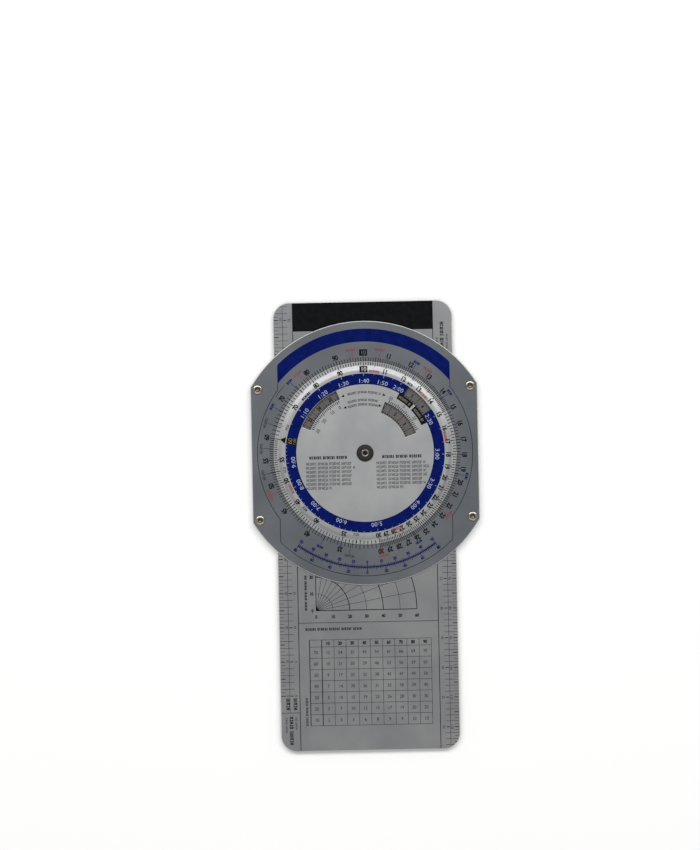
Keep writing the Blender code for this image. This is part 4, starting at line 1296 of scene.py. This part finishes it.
for radius, *ends in ARROWHEADS:
    for degrees, way in zip(ends, (-1, 1)):
        tail = at(-way * ARROWHEAD_SIZE[1] / 2, 0.0, -way * math.pi / 2)
        triangle(dial_black, on_dial(radius * MM, math.radians(degrees)) @ tail, *ARROWHEAD_SIZE)
for left, right, title_left, title_right in TEXT_BLOCKS:
    title = at(title_left * MM, TITLE_HEIGHT * MM)
    straight_text(dial_black, title, (title_right - title_left) * MM, *TITLE_TYPE)
    for row, share in enumerate(TEXT_ROW_SHARES):
        line = at(left * MM, (TEXT_FIRST_ROW - row * TEXT_ROW) * MM)
        straight_text(dial_black, line, (right - left) * share * MM, *TEXT_TYPE)
printed("dial_black_print", draped(dial_black), dial_over, black_ink, "calculator")

dial_red = bmesh.new()
unit_marks(dial_red, INNER_RED_MARKS, LONG_MARK, STRONG_PRINT, *inner_marks)
printed("dial_red_print", draped(dial_red), dial_top, red_ink, "calculator")

dial_bare = bmesh.new()
lettering(dial_bare, "10", INNER_NUMBER_HEIGHT, on_dial(INNER_INDEX_RADIUS, 0.0), LIGHT_TYPE)
printed("dial_bare_digits", draped(dial_bare), dial_top, silver_disc, "calculator")

olive_ink = printing_ink("olive_screen_ink", OLIVES)
printed("dial_index_digits", draped(dial_olive), dial_top, olive_ink, "calculator")

dial_white = bmesh.new()
for minutes in HOUR_NUMBERS:
    bearing = hour_bearing(minutes)
    place = on_dial(HOUR_NUMBER_RADIUS, bearing)
    lettering(dial_white, f"{minutes // 60}:{minutes % 60:02d}", HOUR_NUMBER_HEIGHT, place, WIDE_TYPE)
    tick(dial_white, bearing, HOUR_TICK_OUTER - HOUR_TICK_REACH, HOUR_TICK_OUTER)
for bearing in map(hour_bearing, MINUTE_TICKS):
    if not window_start <= bearing <= window_end:
        tick(dial_white, bearing, HOUR_TICK_OUTER - MINUTE_TICK_REACH, HOUR_TICK_OUTER, MINUTE_TICK_WIDTH)
white_ink = printing_ink("white_screen_ink", WHITES)
printed("dial_white_print", draped(dial_white), dial_top, white_ink, "calculator")

# Pivot: a blind eyelet through the dial and the front plate, rolled over on a moulded black washer. The dial
# turns between that washer and the nylon one below it, and the eyelet's hollow is painted dark as painted
# shade.
CAP_RADIUS = 4.6 * MM
CAP_ROUNDING = 0.9 * MM
CAP_CHAMFER = 0.1 * MM
CAP_STEPS = 72
CAP_BLACKS = ("#0e0e0e", "#161616")
SPARK_GRAIN = 0.2 * MM
SPARK_RELIEF = (0.4, 0.02 * MM)
EYELET_HOLE = 1.1 * MM
EYELET_HOLLOW_DEPTH = 3.2 * MM
EYELET_HOLLOW_CHAMFER = 0.3 * MM
EYELET_DARK_RADIUS = 1.122 * MM
EYELET_SHANK = 1.6 * MM
EYELET_HEAD = 2.15 * MM
EYELET_HEAD_HEIGHT = 0.45 * MM
EYELET_TAIL = 2.8 * MM
EYELET_TAIL_THICKNESS = 0.25 * MM
EYELET_ROLL_STEPS = 12
WORN_NICKELS = ("#726d66", "#8f8b85")
# The eyelet's bore is painted a dark brown as painted shade for the deep hollow.
BORE_SHADE_BROWNS = ("#352f29", "#544c44")

# Black plastic, moulded with the fine spark texture of its mould. The eye sees a soft black with a broad,
# dull highlight.
black_plastic = new_finish(
    "moulded_black_plastic",
    CAP_BLACKS,
    (SPARK_GRAIN, 2.0),
    {"Specular IOR Level": 0.3},
    dull=(0.4, 0.6),
    relief=SPARK_RELIEF,
)
cap_low, cap_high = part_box("cap_washer")
cap_shoulder = (CAP_RADIUS - CAP_ROUNDING, cap_high.z - CAP_ROUNDING)
cap_profile = [
    (CAP_RADIUS - CAP_CHAMFER, cap_low.z),
    (CAP_RADIUS, cap_low.z + CAP_CHAMFER),
    *arc(CAP_ROUNDING, 0.0, math.pi / 2, cap_shoulder, BORE_STEP),
    (EYELET_BORE_RADIUS + CAP_CHAMFER, cap_high.z),
    (EYELET_BORE_RADIUS, cap_high.z - CAP_CHAMFER),
    (EYELET_BORE_RADIUS, cap_low.z),
]
cap_washer = turned_piece("pivot_cap_washer", turned(cap_profile, CAP_STEPS), black_plastic)
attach(cap_washer, "body")
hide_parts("cap_washer")

eyelet_low, eyelet_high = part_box("pivot_eyelet")
eyelet_middle = (EYELET_HOLE + EYELET_HEAD) / 2
eyelet_half = (EYELET_HEAD - EYELET_HOLE) / 2
eyelet_brim = eyelet_high.z - EYELET_HEAD_HEIGHT
eyelet_roll = [
    (eyelet_middle - eyelet_half * math.cos(a), eyelet_brim + EYELET_HEAD_HEIGHT * math.sin(a))
    for a in (math.pi * i / EYELET_ROLL_STEPS for i in range(EYELET_ROLL_STEPS + 1))
]
tail_top = eyelet_low.z + EYELET_TAIL_THICKNESS
hollow_floor = eyelet_high.z - EYELET_HOLLOW_DEPTH
eyelet_profile = [
    (0.0, hollow_floor),
    (EYELET_HOLE - EYELET_HOLLOW_CHAMFER, hollow_floor),
    (EYELET_HOLE, hollow_floor + EYELET_HOLLOW_CHAMFER),
    *eyelet_roll,
    (EYELET_SHANK, eyelet_brim),
    (EYELET_SHANK, tail_top),
    (EYELET_TAIL, tail_top),
    (EYELET_TAIL, eyelet_low.z),
    (0.0, eyelet_low.z),
]
worn_nickel = nickel_plate("worn_nickel_eyelet", WORN_NICKELS)
# The bore's finish is painted shade, not a real blackening of the brass.
bore_painted_shade = nickel_plate("eyelet_bore_painted_shade", BORE_SHADE_BROWNS)
eyelet_shape = turned(eyelet_profile, SMALL_TURN_STEPS, closed=False)
darkened = (EYELET_DARK_RADIUS, tail_top)
eyelet = turned_piece("pivot_eyelet_rolled", eyelet_shape, worn_nickel, bore_painted_shade, darkened)
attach(eyelet, "body")
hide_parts("pivot_eyelet")

# Floor: a plain matt white surface under the instrument, which holds its shadow. It shows from above to the
# camera, and in metal and plastic that isn't right over it, so that the back can be looked at from below.
FLOOR_SIZE = 60.0
FLOOR_WHITE = "#fdfdfc"
FLOOR_GAP = 0.02 * MM
FLOOR_NEAR = 12.0 * MM  # metal and plastic this close to the floor don't mirror it, so the back stays light

bpy.ops.mesh.primitive_plane_add(size=FLOOR_SIZE, location=(0.0, pivot.y, -FLOOR_GAP))
floor = bpy.context.object
floor.name = "floor"
matt_white = bpy.data.materials.new("matt_white_floor")
matt_white.use_nodes = True
white_shader = matt_white.node_tree.nodes["Principled BSDF"]
matt = {"Base Color": linear(FLOOR_WHITE), "Roughness": 1.0, "Specular IOR Level": 0.0}
set_inputs(matt_white, white_shader, matt)
ray = add_node(matt_white, "ShaderNodeLightPath", {}).outputs
underside = add_node(matt_white, "ShaderNodeNewGeometry", {}).outputs["Backfacing"]
from_afar = {0: ray["Ray Length"], 1: FLOOR_NEAR}
clear_of_floor = add_node(matt_white, "ShaderNodeMath", from_afar, operation="GREATER_THAN").outputs["Value"]
shown = ray["Is Glossy Ray"]
for operation, other in (
    ("MAXIMUM", ray["Is Transmission Ray"]),
    ("MULTIPLY", clear_of_floor),
    ("MAXIMUM", ray["Is Camera Ray"]),
    ("SUBTRACT", underside),
):
    pair = {0: shown, 1: other}
    shown = add_node(matt_white, "ShaderNodeMath", pair, operation=operation, use_clamp=True).outputs["Value"]
clear = add_node(matt_white, "ShaderNodeBsdfTransparent", {}).outputs["BSDF"]
mix = {0: shown, 1: clear, 2: white_shader.outputs["BSDF"]}
seen = add_node(matt_white, "ShaderNodeMixShader", mix).outputs["Shader"]
set_inputs(matt_white, matt_white.node_tree.nodes["Material Output"], {"Surface": seen})
floor.data.materials.append(matt_white)

# Light: a pale room, a wide softbox beyond the top of the dial that the sloping rim and the rivets catch, a
# smaller fill on the foot side, and a panel under the floor that lights the back when it is looked at.
ROOM_LEVEL = 0.46
SOFT_LIGHTS = (  # name, size in metres, power in watts, and place
    ("softbox", (3.0, 0.76), 35.0, (0.0, 1.0, 1.9)),
    ("fill_panel", (1.8, 1.0), 4.5, (0.0, -0.8, 2.1)),
    ("under_panel", (3.0, 3.0), 22.0, (0.0, 0.0, -1.6)),
)

world = bpy.data.worlds.new("pale_room")
bpy.context.scene.world = world
world.use_nodes = True
room = world.node_tree.nodes["Background"]
room.inputs["Color"].default_value = (1.0, 1.0, 1.0, 1.0)
room.inputs["Strength"].default_value = ROOM_LEVEL
for name, size, power, place in SOFT_LIGHTS:
    lamp = bpy.data.lights.new(name, "AREA")
    lamp.shape = "RECTANGLE"
    lamp.size, lamp.size_y = size
    lamp.energy = power
    holder = placed(name, lamp)
    holder.location = place
    holder.rotation_euler = (pivot - Vector(place)).to_track_quat("-Z", "Y").to_euler()

# Camera: straight above the instrument with a long lens, turned a little so that the instrument leans to
# the left as it does in the picture.
LENS = 120.0
SENSOR = 36.0
VIEW_HEIGHT = 460.5 * MM  # what the picture's 850 rows span on the dial
LEAN = math.radians(1.15)
PIVOT_RIGHT = 8.18 * MM  # from the picture's centre
PIVOT_BELOW = 15.15 * MM

camera = bpy.data.cameras.new("camera")
camera.lens = LENS
camera.sensor_width = SENSOR
viewpoint = placed("camera", camera)
to_right = Vector((math.cos(LEAN), -math.sin(LEAN), 0.0))
to_top = Vector((math.sin(LEAN), math.cos(LEAN), 0.0))
viewpoint.location = pivot - PIVOT_RIGHT * to_right + PIVOT_BELOW * to_top
viewpoint.location.z = front_high.z + VIEW_HEIGHT * LENS / SENSOR
viewpoint.rotation_euler = (0.0, 0.0, -LEAN)
bpy.context.scene.camera = viewpoint
bpy.context.scene.view_settings.view_transform = "Standard"
